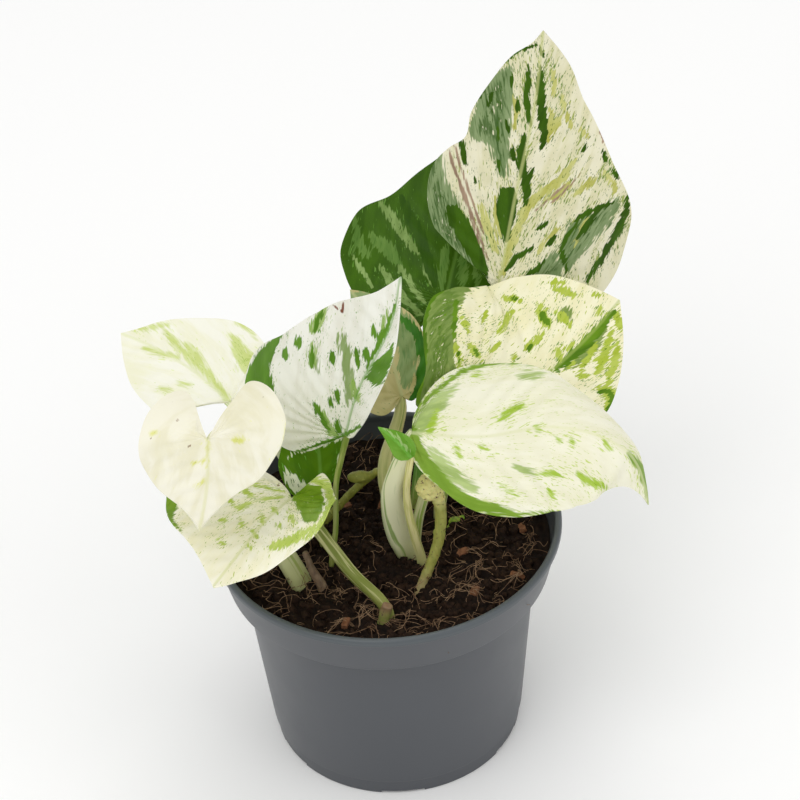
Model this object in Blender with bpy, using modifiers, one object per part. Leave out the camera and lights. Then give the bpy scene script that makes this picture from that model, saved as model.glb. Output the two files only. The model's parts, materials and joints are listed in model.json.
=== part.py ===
"""Potted pothos: a young marbled vine with eleven leaves, in a plain nursery pot.

Lengths in this file are millimetres, angles are degrees, and the meshes are built in metres with +Z up.
The origin is the middle of the pot's base, and -Y is the side that the viewer looks at.
"""
import math

import bmesh
import bpy
import numpy as np

MM = 0.001
GAP = 0.3
SEED = 11

# The pot: a 12 cm nursery pot with a deep collar
POT_HEIGHT = 88.5
RIM_RADIUS = 60.0
LIP_WIDTH = 2.5
LIP_HEIGHT = 3.0
WALL = 1.4
COLLAR_RADIUS = 55.9
COLLAR_BOTTOM = 71.6
BODY_TOP_RADIUS = 50.8
BODY_LOW_RADIUS = 44.9
STEP_HEIGHT = 6.8
STEP_IN = 0.7
BASE_RADIUS = 43.8
FOOT_WIDTH = 6.0
FOOT_HEIGHT = 1.5
PAD_RADIUS = 12.0
FLOOR_TOP = 3.0
POT_STEPS = 60
DRAIN_HOLES = 8
DRAIN_RADIUS = 3.5
DRAIN_CIRCLE = 30.0
DRAIN_STEPS = 16
DRAIN_CUT = 12.0
NOTCHES = 6
NOTCH_WIDTH = 15.0
NOTCH_HEIGHT = 1.2
NOTCH_REACH = 18.0
LIP_UNDERCUT = (0.9, 0.5)
COLLAR_CHAMFER = (0.6, 0.8)
EDGE_CHAMFER = 0.5
FOOT_CHAMFER = 0.4

# The soil: peat up to about 10 mm under the rim, with lumps in it that fade out at the wall
SOIL_LEVEL = 79.0
SOIL_RELIEF = 1.3
LUMP_WAVELENGTHS = (34.0, 23.0, 15.0, 11.0)
FULL_LUMP = 40.0
LUMP_FADE = 8.0
SOIL_RINGS = 9
SOIL_STEPS = 44
CHIP_SIZE = (5.0, 2.6, 1.8)
CHIP_SPREAD = (0.85, 1.2)
CHIP_TILT = 0.25
CHIP_RISE = 0.3
CHIP_FIELD = 50.0
CHIP_INNER_SHARE = 0.05
CHIPS_APART = 9.0
CHIP_TO_STEM = 8.0
SHOWN_CHIPS = ((-51.0, -14.0, 20.0), (-43.0, -13.0, -35.0), (-15.0, -42.0, 70.0))
MORE_CHIPS = 9

# The blades: how many lines and rows a half has is (lines in the base lobe, lines on the midrib, rows)
BLADE_THICKNESS = 0.7
HALF_LINES = (4, 10, 3)
SMALL_HALF_LINES = (3, 7, 2)
VEIN_SLANT = 0.62
VEIN_BEND = 1.25
SPOKE_SPACING = 3.0
WAVE_SHIFT = 2.1
WAVE_REACH = 1.3
HEEL_REACH = 0.25
RIB_END = 0.6
RIB_TIP_RADIUS = 0.5
RIB_POINTS = 5
STEM_POINTS = 11
HOLE_ABOVE = 4.0

# How finely curves are measured, and what counts as nothing
CURVE_SAMPLES = 200
OUTLINE_SAMPLES = 400
RIB_STEP = 0.001
END_SLOPE = 1.5
NOTHING = 1e-6
WELD_DISTANCE = 0.005
TURN_MERGE = 0.01
TUBE_RESOLUTION = 1

# Each leaf has its midrib from joint to tip, the way its upper face looks at the joint and at the tip,
# the width its fold and curl are stated for, the fold at the midrib and the further curl out to that
# width (left and right half, each at the joint and at the tip), its edge waves (height, count, phase),
# how far the base lobes lift, and the outline of each half as (fraction of the midrib, distance from it).
# Its stalk runs from the soil to the joint, with radii spread evenly along it.
LEAVES = {
    "leaf_top": dict(
        rib=[(43.4, 54, 142.2), (50.4, 65, 171.2), (59, 78.5, 201), (63, 87.5, 224.4)],
        face=((0.15, -0.85, 0.5), (-0.1, -0.9, 0.4)), wide=(32, 32),
        fold=((18, 10), (-4, 10)), curl=((-40, -20), (-15, -10)), wave=(1.0, 2.0, 0.1), heel=0,
        left=[(0.03, 4), (0.12, 13), (0.15, 20), (0.21, 25.5), (0.32, 30), (0.44, 29.5), (0.50, 26),
              (0.55, 21.5), (0.65, 21), (0.80, 15.5), (0.90, 9.5), (0.955, 3)],
        right=[(-0.08, 8), (-0.13, 24), (0.0, 39.5), (0.12, 43.5), (0.26, 43.5), (0.43, 40), (0.58, 29.5),
               (0.70, 21), (0.76, 16.5), (0.89, 9.8)],
        stalk=[(18, 10, 70), (18.5, 11, 80), (26, 26, 102), (37, 51, 123), (43.4, 54, 142.2)],
        stalk_radii=(2.2, 1.5), colour=(0.72, 0.74, 0.52)),
    "leaf_back": dict(
        rib=[(25.2, 58, 136.8), (35.3, 84, 156.3), (48.8, 110, 175.8)],
        face=((-0.1, -0.8, 0.6), (0.0, -0.6, 0.8)), wide=(34, 30),
        fold=((8, 8), (-8, 0)), curl=((-30, -20), (-30, -10)), wave=(1.0, 2.0, 0.4), heel=0,
        left=[(-0.16, 6), (-0.30, 14), (-0.16, 25), (0.05, 37.5), (0.2, 42), (0.36, 38.5), (0.47, 28),
              (0.66, 18.5), (0.88, 7)],
        right=[(-0.04, 5), (-0.03, 11), (0.05, 18), (0.18, 23), (0.34, 24), (0.52, 21), (0.75, 12), (0.92, 4)],
        stalk=[(10, 14, 70), (10.5, 15, 80), (15, 31, 98), (22, 49, 118), (25.2, 58, 136.8)],
        stalk_radii=(2.2, 1.5), colour=(0.10, 0.25, 0.05)),
    "leaf_right": dict(
        rib=[(25.5, 8, 131), (41, 17, 127), (55.5, 27, 124.5), (70, 38, 129), (85, 49, 139)],
        face=((0.0, -0.78, 0.62), (0.1, -0.6, 0.75)), wide=(34, 28),
        fold=((30, 10), (-10, -10)), curl=((-40, -30), (-30, -20)), wave=(0.6, 2.0, 0.0), heel=0,
        left=[(-0.12, 0.4), (-0.2, 1.5), (-0.2, 4.5), (-0.16, 12), (-0.15, 22), (-0.12, 30.4), (-0.05, 36.9),
              (0.06, 38.6), (0.3, 36.9), (0.55, 36.4), (0.7, 34), (0.88, 24.1), (0.95, 13.5)],
        right=[(-0.08, 6), (-0.12, 14), (-0.05, 22), (0.12, 27), (0.35, 28.5), (0.55, 27), (0.72, 21),
               (0.85, 12), (0.94, 5)],
        stalk=[(9.5, -2, 70), (9.7, -2, 80), (13.7, -1, 99), (19.5, 3, 110), (23.5, 6, 120), (25.5, 8, 131)],
        stalk_radii=(2.0, 1.5), colour=(0.74, 0.72, 0.46)),
    "leaf_front": dict(
        rib=[(10.5, -14, 137), (32, -17, 136), (58, -21, 141), (71.5, -23, 137.5), (80, -25, 131.5),
             (85, -27, 118.5), (86, -28, 112)],
        face=((0.0, -0.45, 0.9), (0.2, -0.5, 0.85)), wide=(28, 28),
        fold=((12, -50), (5, 0)), curl=((-25, -20), (-45, -20)), wave=(0.8, 2.0, 0.2), heel=0,
        left=[(0.0, 5), (0.02, 11), (0.09, 22), (0.20, 31), (0.32, 33), (0.47, 29.5), (0.61, 22.5), (0.75, 12),
              (0.88, 3.5)],
        right=[(-0.01, 5), (0.03, 11), (0.12, 18), (0.2, 23.5), (0.32, 28), (0.45, 28.3), (0.6, 26),
               (0.72, 22), (0.82, 14.5), (0.9, 5)],
        stalk=[(7.2, -9, 70), (7, -9.2, 80), (4.2, -10.5, 90), (2.7, -12, 102), (2.9, -13.5, 112.5),
               (5.3, -15, 122.5), (8.3, -15, 131), (10.5, -14, 137)],
        stalk_radii=(2.9, 2.4), colour=(0.78, 0.77, 0.55)),
    "leaf_middle": dict(
        rib=[(-11, -4, 129.5), (-5, -7, 152), (1.5, -9, 166.5), (6.5, -11, 179.5), (10, -12, 197.5)],
        face=((-0.35, -0.9, 0.2), (-0.35, -0.9, 0.1)), wide=(36, 20),
        fold=((5, 0), (50, 50)), curl=((-35, -10), (10, 10)), wave=(0.8, 2.0, 0.5), heel=0,
        left=[(-0.08, 5), (-0.2, 12), (-0.27, 20), (-0.26, 32), (-0.15, 42), (0.02, 44), (0.18, 39),
              (0.34, 30.5), (0.58, 22.5), (0.78, 14.5), (0.9, 6)],
        right=[(0.02, 2.5), (0.15, 8), (0.34, 12), (0.5, 12), (0.7, 7), (0.88, 2)],
        stalk=[(-19.4, -11, 70), (-19.2, -10.5, 80), (-17.2, -7.5, 90.5), (-15.7, -2, 107.8), (-13, -2, 119.6),
               (-11, -4, 129.5)],
        stalk_radii=(0.9, 1.0), colour=(0.80, 0.80, 0.68)),
    "leaf_hidden": dict(
        rib=[(8, 16, 129), (5.5, 28, 135), (0, 44, 140), (-7.5, 58, 144)],
        face=((0.2, -0.7, 0.7), (0.0, -0.6, 0.8)), wide=(22, 22),
        fold=((10, 10), (10, 10)), curl=((-30, -20), (-40, -20)), wave=(0.6, 2.0, 0.5), heel=0,
        left=[(-0.08, 3), (-0.14, 8), (-0.08, 13), (0.08, 16), (0.28, 16), (0.52, 13), (0.75, 7.5), (0.92, 2)],
        right=[(-0.05, 3), (0, 6.5), (0.2, 11), (0.38, 13.5), (0.55, 13), (0.75, 8), (0.92, 3)],
        stalk=[(3.4, 1.5, 70), (3.2, 1.5, 80), (2.5, 4, 94.5), (2.1, 6, 109.5), (5.4, 10, 119.5),
               (7.5, 13, 125.5), (8, 16, 129)],
        stalk_radii=(2.4, 3.4, 1.6), colour=(0.36, 0.42, 0.20)),
    "leaf_heart": dict(
        rib=[(-54.5, -24, 147.5), (-54, -48, 148.5), (-55.5, -72, 151)],
        face=((-0.05, -0.15, 0.95), (-0.05, -0.35, 0.9)), wide=(24, 24),
        fold=((14, 8), (14, 8)), curl=((-20, -10), (-20, -10)), wave=(0.6, 2.0, 0.3), heel=10,
        left=[(-0.1, 3.5), (-0.19, 9.5), (-0.25, 16), (-0.21, 22.5), (-0.08, 25.5), (0.1, 24.8), (0.3, 22),
              (0.5, 17.5), (0.65, 10), (0.82, 3.5)],
        right=[(-0.09, 3.5), (-0.18, 2.5), (-0.24, 4), (-0.25, 9), (-0.22, 14.5), (-0.16, 19), (-0.06, 21.6),
               (0.1, 22), (0.28, 20), (0.55, 14.5), (0.79, 5.7)],
        stalk=[(-28.5, -19, 70), (-30, -18.5, 79), (-38, -8, 91), (-45, 11, 103.5), (-50, 10, 122.5),
               (-51.5, -6, 137), (-54.5, -24, 147.5)],
        stalk_radii=(3.6, 3.0, 1.6, 1.4), colour=(0.80, 0.78, 0.60)),
    "leaf_left": dict(
        rib=[(-50.2, 21, 127.2), (-61.8, 34, 130.7), (-74.3, 45, 132.7), (-87.9, 55, 133.7)],
        face=((0.0, -0.45, 0.9), (0.0, -0.5, 0.85)), wide=(24, 24),
        fold=((8, 8), (8, 8)), curl=((-20, -20), (-20, -20)), wave=(0.8, 2.0, 0.6), heel=0,
        left=[(0.05, 3.5), (0.12, 8), (0.17, 13), (0.24, 18), (0.33, 20), (0.44, 19.3), (0.68, 15.8),
              (0.84, 9.5)],
        right=[(-0.03, 5), (-0.04, 11), (0.0, 17), (0.1, 22), (0.2, 24), (0.38, 24), (0.58, 17.5), (0.79, 9),
               (0.92, 3)],
        stalk=[(-27, 18, 70), (-27.5, 19, 80), (-34, 25, 98), (-44, 27, 115), (-50.2, 21, 127.2)],
        stalk_radii=(2.2, 1.4), colour=(0.80, 0.78, 0.58)),
    "leaf_low": dict(
        rib=[(-30.5, -12, 111), (-38.5, -34, 120), (-46, -54, 125), (-54, -68, 124)],
        face=((-0.1, -0.05, 0.95), (-0.1, -0.1, 0.9)), wide=(26, 34),
        fold=((-10, 5), (12, 5)), curl=((60, 20), (0, -5)), wave=(0.4, 2.0, 0.6), heel=3,
        left=[(-0.1, 1), (-0.22, 2), (-0.29, 4.5), (-0.24, 8), (-0.15, 11), (0.0, 15.5), (0.18, 20.5),
              (0.36, 24), (0.55, 25.5), (0.7, 22.5), (0.8, 16.5), (0.9, 10)],
        right=[(-0.1, 5), (-0.18, 14), (-0.16, 26), (-0.05, 35), (0.12, 38), (0.28, 37), (0.48, 32),
               (0.68, 24), (0.86, 11)],
        stalk=[(-0.5, -36.5, 70), (-1.5, -35.5, 80), (-12, -30, 92), (-22, -20.5, 103), (-30.5, -12, 111)],
        stalk_radii=(2.0, 2.4), colour=(0.80, 0.78, 0.56)),
    "leaf_shaded": dict(
        rib=[(-21.8, 4, 97.5), (-21, 8, 110), (-22, 16, 119), (-24, 25, 126)],
        face=((0.0, -0.7, 0.7), (0.0, -0.6, 0.8)), wide=(16, 12),
        fold=((0, 0), (10, 10)), curl=((-20, -20), (-10, -10)), wave=(0.4, 2.0, 0.0), heel=0,
        left=[(-0.05, 4), (-0.02, 9), (0.1, 12.5), (0.3, 14.5), (0.5, 13), (0.7, 9), (0.88, 4)],
        right=[(0.05, 2), (0.2, 5), (0.35, 7.5), (0.5, 9), (0.7, 7), (0.88, 3)],
        stalk=[(-22.3, -1, 70), (-22.2, 0, 80), (-22, 2, 90), (-21.8, 4, 97.5)],
        stalk_radii=(1.0, 0.9), colour=(0.12, 0.24, 0.03)),
    "leaf_young": dict(
        rib=[(10, -24.5, 135), (5.5, -25.5, 143), (0, -25.5, 149.5)],
        face=((-0.3, -0.6, 0.7), (0.0, -0.5, 0.8)), wide=(6, 6),
        fold=((20, 20), (20, 20)), curl=((10, 10), (10, 10)), wave=(0.0, 2.0, 0.0), heel=0,
        left=[(0.1, 2.5), (0.35, 4.2), (0.6, 3.2), (0.85, 1.2)],
        right=[(0.1, 2.5), (0.35, 4.2), (0.6, 3.2), (0.85, 1.2)],
        stalk=[(11.5, -14.5, 70), (11.5, -14.5, 80), (9.6, -15.5, 93), (8.0, -17, 105.5), (7.6, -19, 115),
               (8.3, -22, 125), (10, -24.5, 135)],
        stalk_radii=(1.9, 1.0), colour=(0.16, 0.36, 0.06)),
}
SMALL_LEAVES = ("leaf_shaded", "leaf_young", "leaf_hidden")
JOINED_BY_MANIFOLD = ("leaf_middle",)

# Stems without a blade: centre line and radii, with the lumps and stubs that grow on them
STEMS = {
    "crown_stem": dict(
        path=[(9, -27, 70), (10, -26, 79), (12.5, -24, 84), (16.5, -21, 93), (18.5, -19, 103),
              (17.5, -17, 114), (15, -15, 121)],
        radii=(1.5, 2.2), lumps=[((15.5, -17.5, 116.5), (4.6, 4.2, 5.0)), ((17.6, -19, 98), (2.0, 2.0, 1.2))],
        colour=(0.42, 0.40, 0.16)),
    "dry_sheath": dict(
        path=[(-22, -22, 70), (-22.5, -22, 79), (-25.5, -20.5, 86), (-27.5, -19, 93)],
        radii=(2.4, 1.0), lumps=[], colour=(0.30, 0.20, 0.12)),
    "cut_stub": dict(
        path=[(-3.2, -41.5, 70), (-3, -41, 78), (-0.8, -40, 86)],
        radii=(1.9, 1.9), lumps=[], colour=(0.26, 0.20, 0.10)),
    "side_sprout": dict(
        path=[(20.5, 3.5, 70), (21, 4, 77.5), (23, 5, 80.5), (27, 6.5, 82)],
        radii=(1.6, 0.8), lumps=[((23.5, 5.2, 81.5), (2.2, 1.8, 1.4))], colour=(0.34, 0.40, 0.08)),
}
# The budding shoot leaves the hidden leaf's sheath and roots in the soil beside it
BUD_SHOOT = [(-21.5, 10, 70), (-21, 10, 80), (-16.3, 11, 86), (-7.5, 11, 96), (-1.5, 9, 102.5), (1.5, 6.5, 105)]
BUD_SHOOT_RADII = (1.4, 1.4)
BUD = ((-8.0, 9.8, 99.9), (4.2, 2.0, 2.3))


def unit(vectors):
    vectors = np.asarray(vectors, float)
    return vectors / np.linalg.norm(vectors, axis=-1, keepdims=True)


def along(points, fractions):
    """Points at the given fractions of a smooth curve through a few points."""
    points = np.asarray(points, float)
    if len(points) == 2:
        return points[0] + np.multiply.outer(fractions, points[1] - points[0])
    gaps = np.linalg.norm(np.diff(points, axis=0), axis=1)
    knots = np.concatenate([[0.0], np.cumsum(gaps)])
    chords = np.diff(points, axis=0) / gaps[:, None]
    slopes = np.empty_like(points)
    share = (gaps[1:] / (gaps[1:] + gaps[:-1]))[:, None]
    slopes[1:-1] = chords[:-1] * share + chords[1:] * (1 - share)
    slopes[0] = END_SLOPE * chords[0] + (1 - END_SLOPE) * slopes[1]
    slopes[-1] = END_SLOPE * chords[-1] + (1 - END_SLOPE) * slopes[-2]
    place = np.clip(np.asarray(fractions, float), 0, 1) * knots[-1]
    k = np.clip(np.searchsorted(knots, place, side="right") - 1, 0, len(gaps) - 1)
    t = ((place - knots[k]) / gaps[k])[..., None]
    gap = gaps[k][..., None]
    start = (2 * t ** 3 - 3 * t ** 2 + 1) * points[k] + (t ** 3 - 2 * t ** 2 + t) * gap * slopes[k]
    end = (3 * t ** 2 - 2 * t ** 3) * points[k + 1] + (t ** 3 - t ** 2) * gap * slopes[k + 1]
    return start + end


def curve_length(points):
    steps = np.diff(along(points, np.linspace(0, 1, CURVE_SAMPLES)), axis=0)
    return np.linalg.norm(steps, axis=1).sum()


def rib_frame(leaf, u):
    """Place on the midrib, its direction, the direction across to the right and the upper face's normal."""
    place = along(leaf["rib"], u)
    past, before = np.clip(u + RIB_STEP, 0, 1), np.clip(u - RIB_STEP, 0, 1)
    ahead = unit(along(leaf["rib"], past) - along(leaf["rib"], before))
    low, high = unit(leaf["face"][0]), unit(leaf["face"][1])
    up = unit(low + (high - low) * u[..., None])
    across = unit(np.cross(ahead, up))
    return place, ahead, across, np.cross(across, ahead)


def blend(ends, u):
    return ends[0] + (ends[1] - ends[0]) * np.clip(u, 0, 1)


def blade_point(leaf, u, v):
    """Point of the blade at fraction u of the midrib and v mm to the right of it."""
    u = np.asarray(u, float)
    v = np.asarray(v, float)
    place, ahead, across, up = rib_frame(leaf, np.clip(u, 0, 1))
    behind = np.minimum(u, 0)
    is_left = v < 0
    reach = np.abs(v)
    part = reach / np.where(is_left, leaf["wide"][0], leaf["wide"][1])
    fold = np.radians(np.where(is_left, blend(leaf["fold"][0], u), blend(leaf["fold"][1], u)))
    curl = np.radians(np.where(is_left, blend(leaf["curl"][0], u), blend(leaf["curl"][1], u)))
    half_turn = curl * part / 2
    chord = reach * np.sinc(half_turn / np.pi)
    angle = fold + half_turn
    height, count, phase = leaf["wave"]
    turn = 2 * np.pi * (count * u + phase) + np.where(is_left, 0.0, WAVE_SHIFT)
    ripple = height * np.clip(part, 0, WAVE_REACH) ** 2 * np.sin(turn)
    lobe_lift = leaf["heel"] * (behind / HEEL_REACH) ** 2
    out = chord * np.cos(angle) * np.sign(v)
    rise = chord * np.sin(angle) + ripple + lobe_lift
    back = behind * curve_length(leaf["rib"])
    return place + ahead * back[..., None] + across * out[..., None] + up * rise[..., None]


def half_grid(leaf, side, lobe_spokes, rib_spokes, rows):
    """Rows of points from the midrib out to the edge, along lines that run as the side veins do.

    The first spokes fan out of the joint into the base lobe, and the others leave the midrib at
    even steps, so both halves share their points on it.
    """
    length = curve_length(leaf["rib"])
    flat = [(0.0, 0.0)] + [(u * length, v) for u, v in leaf[side]] + [(length, 0.0)]
    fine = np.linspace(0, 1, OUTLINE_SAMPLES)
    edge = along(flat, fine)
    root = np.clip((edge[:, 0] - VEIN_SLANT * edge[:, 1]) / length, 0, 1)
    root = np.maximum.accumulate(root)
    root[-1] = 1.0
    lobe_end = fine[np.argmax(root > NOTHING) - 1]
    lobe_edge = curve_length(flat) * lobe_end
    in_lobe = min(lobe_spokes, int(lobe_edge / SPOKE_SPACING))
    stations = np.linspace(0, 1, rib_spokes + 1)[1:]
    fan = np.linspace(0, lobe_end, in_lobe + 1) if in_lobe else np.zeros(1)
    spread = np.concatenate([fan, np.interp(stations, root, fine)])
    roots = np.concatenate([np.zeros(in_lobe + 1), stations])
    tips = along(flat, spread)
    reach = np.linspace(0, 1, rows + 1)
    u = roots[:, None] + (tips[:, :1] / length - roots[:, None]) * reach ** VEIN_BEND
    v = tips[:, 1:] * reach
    return blade_point(leaf, u, v if side == "right" else -v)


def collection(name, parent):
    made = bpy.data.collections.new(name)
    parent.children.link(made)
    return made


def finish(name, colour, roughness):
    material = bpy.data.materials.new(name)
    material.use_nodes = True
    shader = material.node_tree.nodes["Principled BSDF"]
    shader.inputs["Base Color"].default_value = (*colour, 1.0)
    shader.inputs["Roughness"].default_value = roughness
    return material


def add_object(name, mesh, where, material=None):
    made = bpy.data.objects.new(name, mesh)
    where.objects.link(made)
    if material:
        mesh.materials.append(material)
    return made


def add_guide(name, mesh, where):
    """An object that only cuts or joins another one."""
    made = add_object(name, mesh, where)
    made.hide_render = True
    made.display_type = "WIRE"
    return made


def boolean(target, operation, operand):
    modifier = target.modifiers.new(operation.lower(), "BOOLEAN")
    modifier.operation = operation
    modifier.solver = "MANIFOLD" if target.name in JOINED_BY_MANIFOLD else "EXACT"
    if isinstance(operand, bpy.types.Collection):
        modifier.operand_type = "COLLECTION"
        modifier.collection = operand
    else:
        modifier.object = operand


def evaluated_mesh(thing):
    state = thing.evaluated_get(bpy.context.evaluated_depsgraph_get())
    return bpy.data.meshes.new_from_object(state)


def weld(mesh):
    shape = bmesh.new()
    shape.from_mesh(mesh)
    bmesh.ops.remove_doubles(shape, verts=shape.verts, dist=WELD_DISTANCE * MM)
    bmesh.ops.dissolve_degenerate(shape, edges=shape.edges, dist=WELD_DISTANCE * MM)
    shape.to_mesh(mesh)
    shape.free()


def tube(name, points, radii, where):
    """A round stem along the points, as a closed mesh."""
    curve = bpy.data.curves.new(name, "CURVE")
    curve.dimensions = "3D"
    curve.bevel_depth = MM
    curve.bevel_resolution = TUBE_RESOLUTION
    curve.use_fill_caps = True
    line = curve.splines.new("POLY")
    line.points.add(len(points) - 1)
    for knot, place, radius in zip(line.points, points, radii):
        knot.co = (*(place * MM), 1.0)
        knot.radius = radius
    drawn = bpy.data.objects.new(name + "_line", curve)
    where.objects.link(drawn)
    mesh = evaluated_mesh(drawn)
    bpy.data.objects.remove(drawn)
    weld(mesh)
    return mesh


def lump(name, centre, radii):
    """A small rounded swelling."""
    mesh = bpy.data.meshes.new(name)
    shape = bmesh.new()
    bmesh.ops.create_icosphere(shape, subdivisions=1, radius=1.0)
    for vertex in shape.verts:
        vertex.co = [(c + r * part) * MM for c, r, part in zip(centre, radii, vertex.co)]
    shape.to_mesh(mesh)
    shape.free()
    return mesh


def turned(name, profile, steps, where, material):
    """A turned solid from a half section that starts and ends on the axis."""
    mesh = bpy.data.meshes.new(name)
    edges = [(k, k + 1) for k in range(len(profile) - 1)]
    mesh.from_pydata([(radius * MM, 0, height * MM) for radius, height in profile], edges, [])
    made = add_object(name, mesh, where, material)
    screw = made.modifiers.new("turn", "SCREW")
    screw.steps = steps
    screw.render_steps = steps
    screw.use_merge_vertices = True
    screw.merge_threshold = TURN_MERGE * MM
    return made


def body_inside(height):
    """Inner radius of the pot's tapered body."""
    low = BODY_LOW_RADIUS - STEP_IN - WALL
    return low + (BODY_TOP_RADIUS - WALL - low) * height / COLLAR_BOTTOM


def collar_inside(height):
    """Inner radius of the pot's collar."""
    low = COLLAR_RADIUS - WALL
    share = (height - COLLAR_BOTTOM) / (POT_HEIGHT - LIP_HEIGHT - COLLAR_BOTTOM)
    return low + (RIM_RADIUS - LIP_WIDTH - low) * share


def lip_bead():
    """Half circle over the rim, from its inner side to its outer side."""
    radius = LIP_WIDTH / 2
    middle = RIM_RADIUS - radius
    turns = np.radians([180, 135, 90, 45, 0])
    return [(middle + radius * math.cos(a), POT_HEIGHT - radius + radius * math.sin(a)) for a in turns]


def make_pot(parts, cutters):
    shelf_top = COLLAR_BOTTOM + WALL
    under_lip = POT_HEIGHT - LIP_HEIGHT
    inside = [(0, FLOOR_TOP), (body_inside(FLOOR_TOP), FLOOR_TOP), (body_inside(shelf_top), shelf_top),
              (collar_inside(shelf_top), shelf_top), (collar_inside(under_lip), under_lip)]
    outside = [(RIM_RADIUS, under_lip + LIP_UNDERCUT[1]), (RIM_RADIUS - LIP_UNDERCUT[0], under_lip),
               (COLLAR_RADIUS, COLLAR_BOTTOM + COLLAR_CHAMFER[1]),
               (COLLAR_RADIUS - COLLAR_CHAMFER[0], COLLAR_BOTTOM),
               (BODY_TOP_RADIUS, COLLAR_BOTTOM), (BODY_LOW_RADIUS, STEP_HEIGHT),
               (BODY_LOW_RADIUS - STEP_IN, STEP_HEIGHT - FOOT_CHAMFER),
               (BASE_RADIUS, EDGE_CHAMFER), (BASE_RADIUS - EDGE_CHAMFER, 0)]
    below = [(BASE_RADIUS - FOOT_WIDTH, 0), (BASE_RADIUS - FOOT_WIDTH - FOOT_CHAMFER, FOOT_HEIGHT),
             (PAD_RADIUS + FOOT_CHAMFER, FOOT_HEIGHT), (PAD_RADIUS, 0), (0, 0)]
    pot = turned("pot", inside + lip_bead() + outside + below, POT_STEPS, parts,
                 finish("pot_plastic", (0.10, 0.105, 0.11), 0.45))
    openings = collection("pot_cutters", cutters)
    for k in range(DRAIN_HOLES):
        turn = 2 * math.pi * (k + 0.5) / DRAIN_HOLES
        bpy.ops.mesh.primitive_cylinder_add(vertices=DRAIN_STEPS, radius=DRAIN_RADIUS * MM,
                                            depth=DRAIN_CUT * MM,
                                            location=(DRAIN_CIRCLE * MM * math.cos(turn),
                                                      DRAIN_CIRCLE * MM * math.sin(turn), 0))
        move_to_guides(bpy.context.object, "drain_hole_%d" % k, openings)
    for k in range(NOTCHES):
        turn = 2 * math.pi * k / NOTCHES - math.pi / 2
        bpy.ops.mesh.primitive_cube_add(size=1, location=(BASE_RADIUS * MM * math.cos(turn),
                                                          BASE_RADIUS * MM * math.sin(turn), 0),
                                        rotation=(0, 0, turn),
                                        scale=(NOTCH_REACH * MM, NOTCH_WIDTH * MM, 2 * NOTCH_HEIGHT * MM))
        move_to_guides(bpy.context.object, "foot_notch_%d" % k, openings)
    boolean(pot, "DIFFERENCE", openings)


def move_to_guides(thing, name, where):
    thing.name = name
    for home in list(thing.users_collection):
        home.objects.unlink(thing)
    where.objects.link(thing)
    thing.hide_render = True
    thing.display_type = "WIRE"


def soil_relief(x, y):
    """Height of the lumps over the soil's level, fading out at the wall."""
    draw = np.random.default_rng(SEED)
    total = np.zeros_like(x)
    for wavelength in LUMP_WAVELENGTHS:
        turn, phase = draw.uniform(0, 2 * np.pi, 2)
        across = x * np.cos(turn) + y * np.sin(turn)
        total += np.sin(2 * np.pi * across / wavelength + phase) * wavelength / FULL_LUMP
    fade = np.clip((collar_inside(SOIL_LEVEL) - np.hypot(x, y)) / LUMP_FADE, 0, 1)
    return SOIL_RELIEF * total * fade


def soil_chips(feet, where):
    """Bark chips lying half sunk in the surface, clear of every stem."""
    draw = np.random.default_rng(SEED + 1)
    places = [(x, y, turn) for x, y, turn in SHOWN_CHIPS]
    while len(places) < len(SHOWN_CHIPS) + MORE_CHIPS:
        radius = CHIP_FIELD * math.sqrt(draw.uniform(CHIP_INNER_SHARE, 1))
        turn = draw.uniform(0, 2 * math.pi)
        x, y = radius * math.cos(turn), radius * math.sin(turn)
        apart = [math.hypot(x - other[0], y - other[1]) for other in places]
        clear = [math.hypot(x - foot[0], y - foot[1]) for foot in feet]
        if min(apart) > CHIPS_APART and min(clear) > CHIP_TO_STEM:
            places.append((x, y, math.degrees(draw.uniform(0, math.pi))))
    for k, (x, y, turn) in enumerate(places):
        height = SOIL_LEVEL + float(soil_relief(np.array(x), np.array(y)))
        tilt = draw.uniform(-CHIP_TILT, CHIP_TILT, 2)
        bpy.ops.mesh.primitive_cube_add(size=1, location=(x * MM, y * MM, (height + CHIP_RISE) * MM),
                                        rotation=(*tilt, math.radians(turn)),
                                        scale=[side * MM * draw.uniform(*CHIP_SPREAD) for side in CHIP_SIZE])
        move_to_guides(bpy.context.object, "chip_%d" % k, where)


def make_soil(parts, cutters):
    shelf_top = COLLAR_BOTTOM + WALL + GAP
    edge = collar_inside(SOIL_LEVEL) - GAP
    top = [(edge * k / SOIL_RINGS, SOIL_LEVEL) for k in range(SOIL_RINGS + 1)]
    side = [(collar_inside(shelf_top) - GAP, shelf_top), (body_inside(shelf_top) - GAP, shelf_top),
            (body_inside(FLOOR_TOP) - GAP, FLOOR_TOP + GAP), (0, FLOOR_TOP + GAP)]
    plain = turned("soil_shape", top + side, SOIL_STEPS, cutters, None)
    mesh = evaluated_mesh(plain)
    bpy.data.objects.remove(plain)
    for vertex in mesh.vertices:
        if abs(vertex.co.z - SOIL_LEVEL * MM) < NOTHING:
            lift = soil_relief(np.array(vertex.co.x / MM), np.array(vertex.co.y / MM))
            vertex.co.z += float(lift) * MM
    mesh.materials.clear()
    soil = add_object("soil", mesh, parts, finish("peat", (0.035, 0.022, 0.015), 0.95))
    holes = collection("stem_holes", cutters)
    feet = []
    for name, (points, sizes) in stem_lines().items():
        feet.append(points[0].copy())
        points[0] -= unit(points[1] - points[0]) * GAP
        near_soil = int(np.sum(points[:, 2] < SOIL_LEVEL + HOLE_ABOVE)) + 1
        mesh = tube(name + "_hole", points[:near_soil], sizes[:near_soil] + GAP, holes)
        add_guide(name + "_hole", mesh, holes)
    chips = collection("chips", cutters)
    soil_chips(feet, chips)
    boolean(soil, "UNION", chips)
    boolean(soil, "DIFFERENCE", holes)


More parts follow.
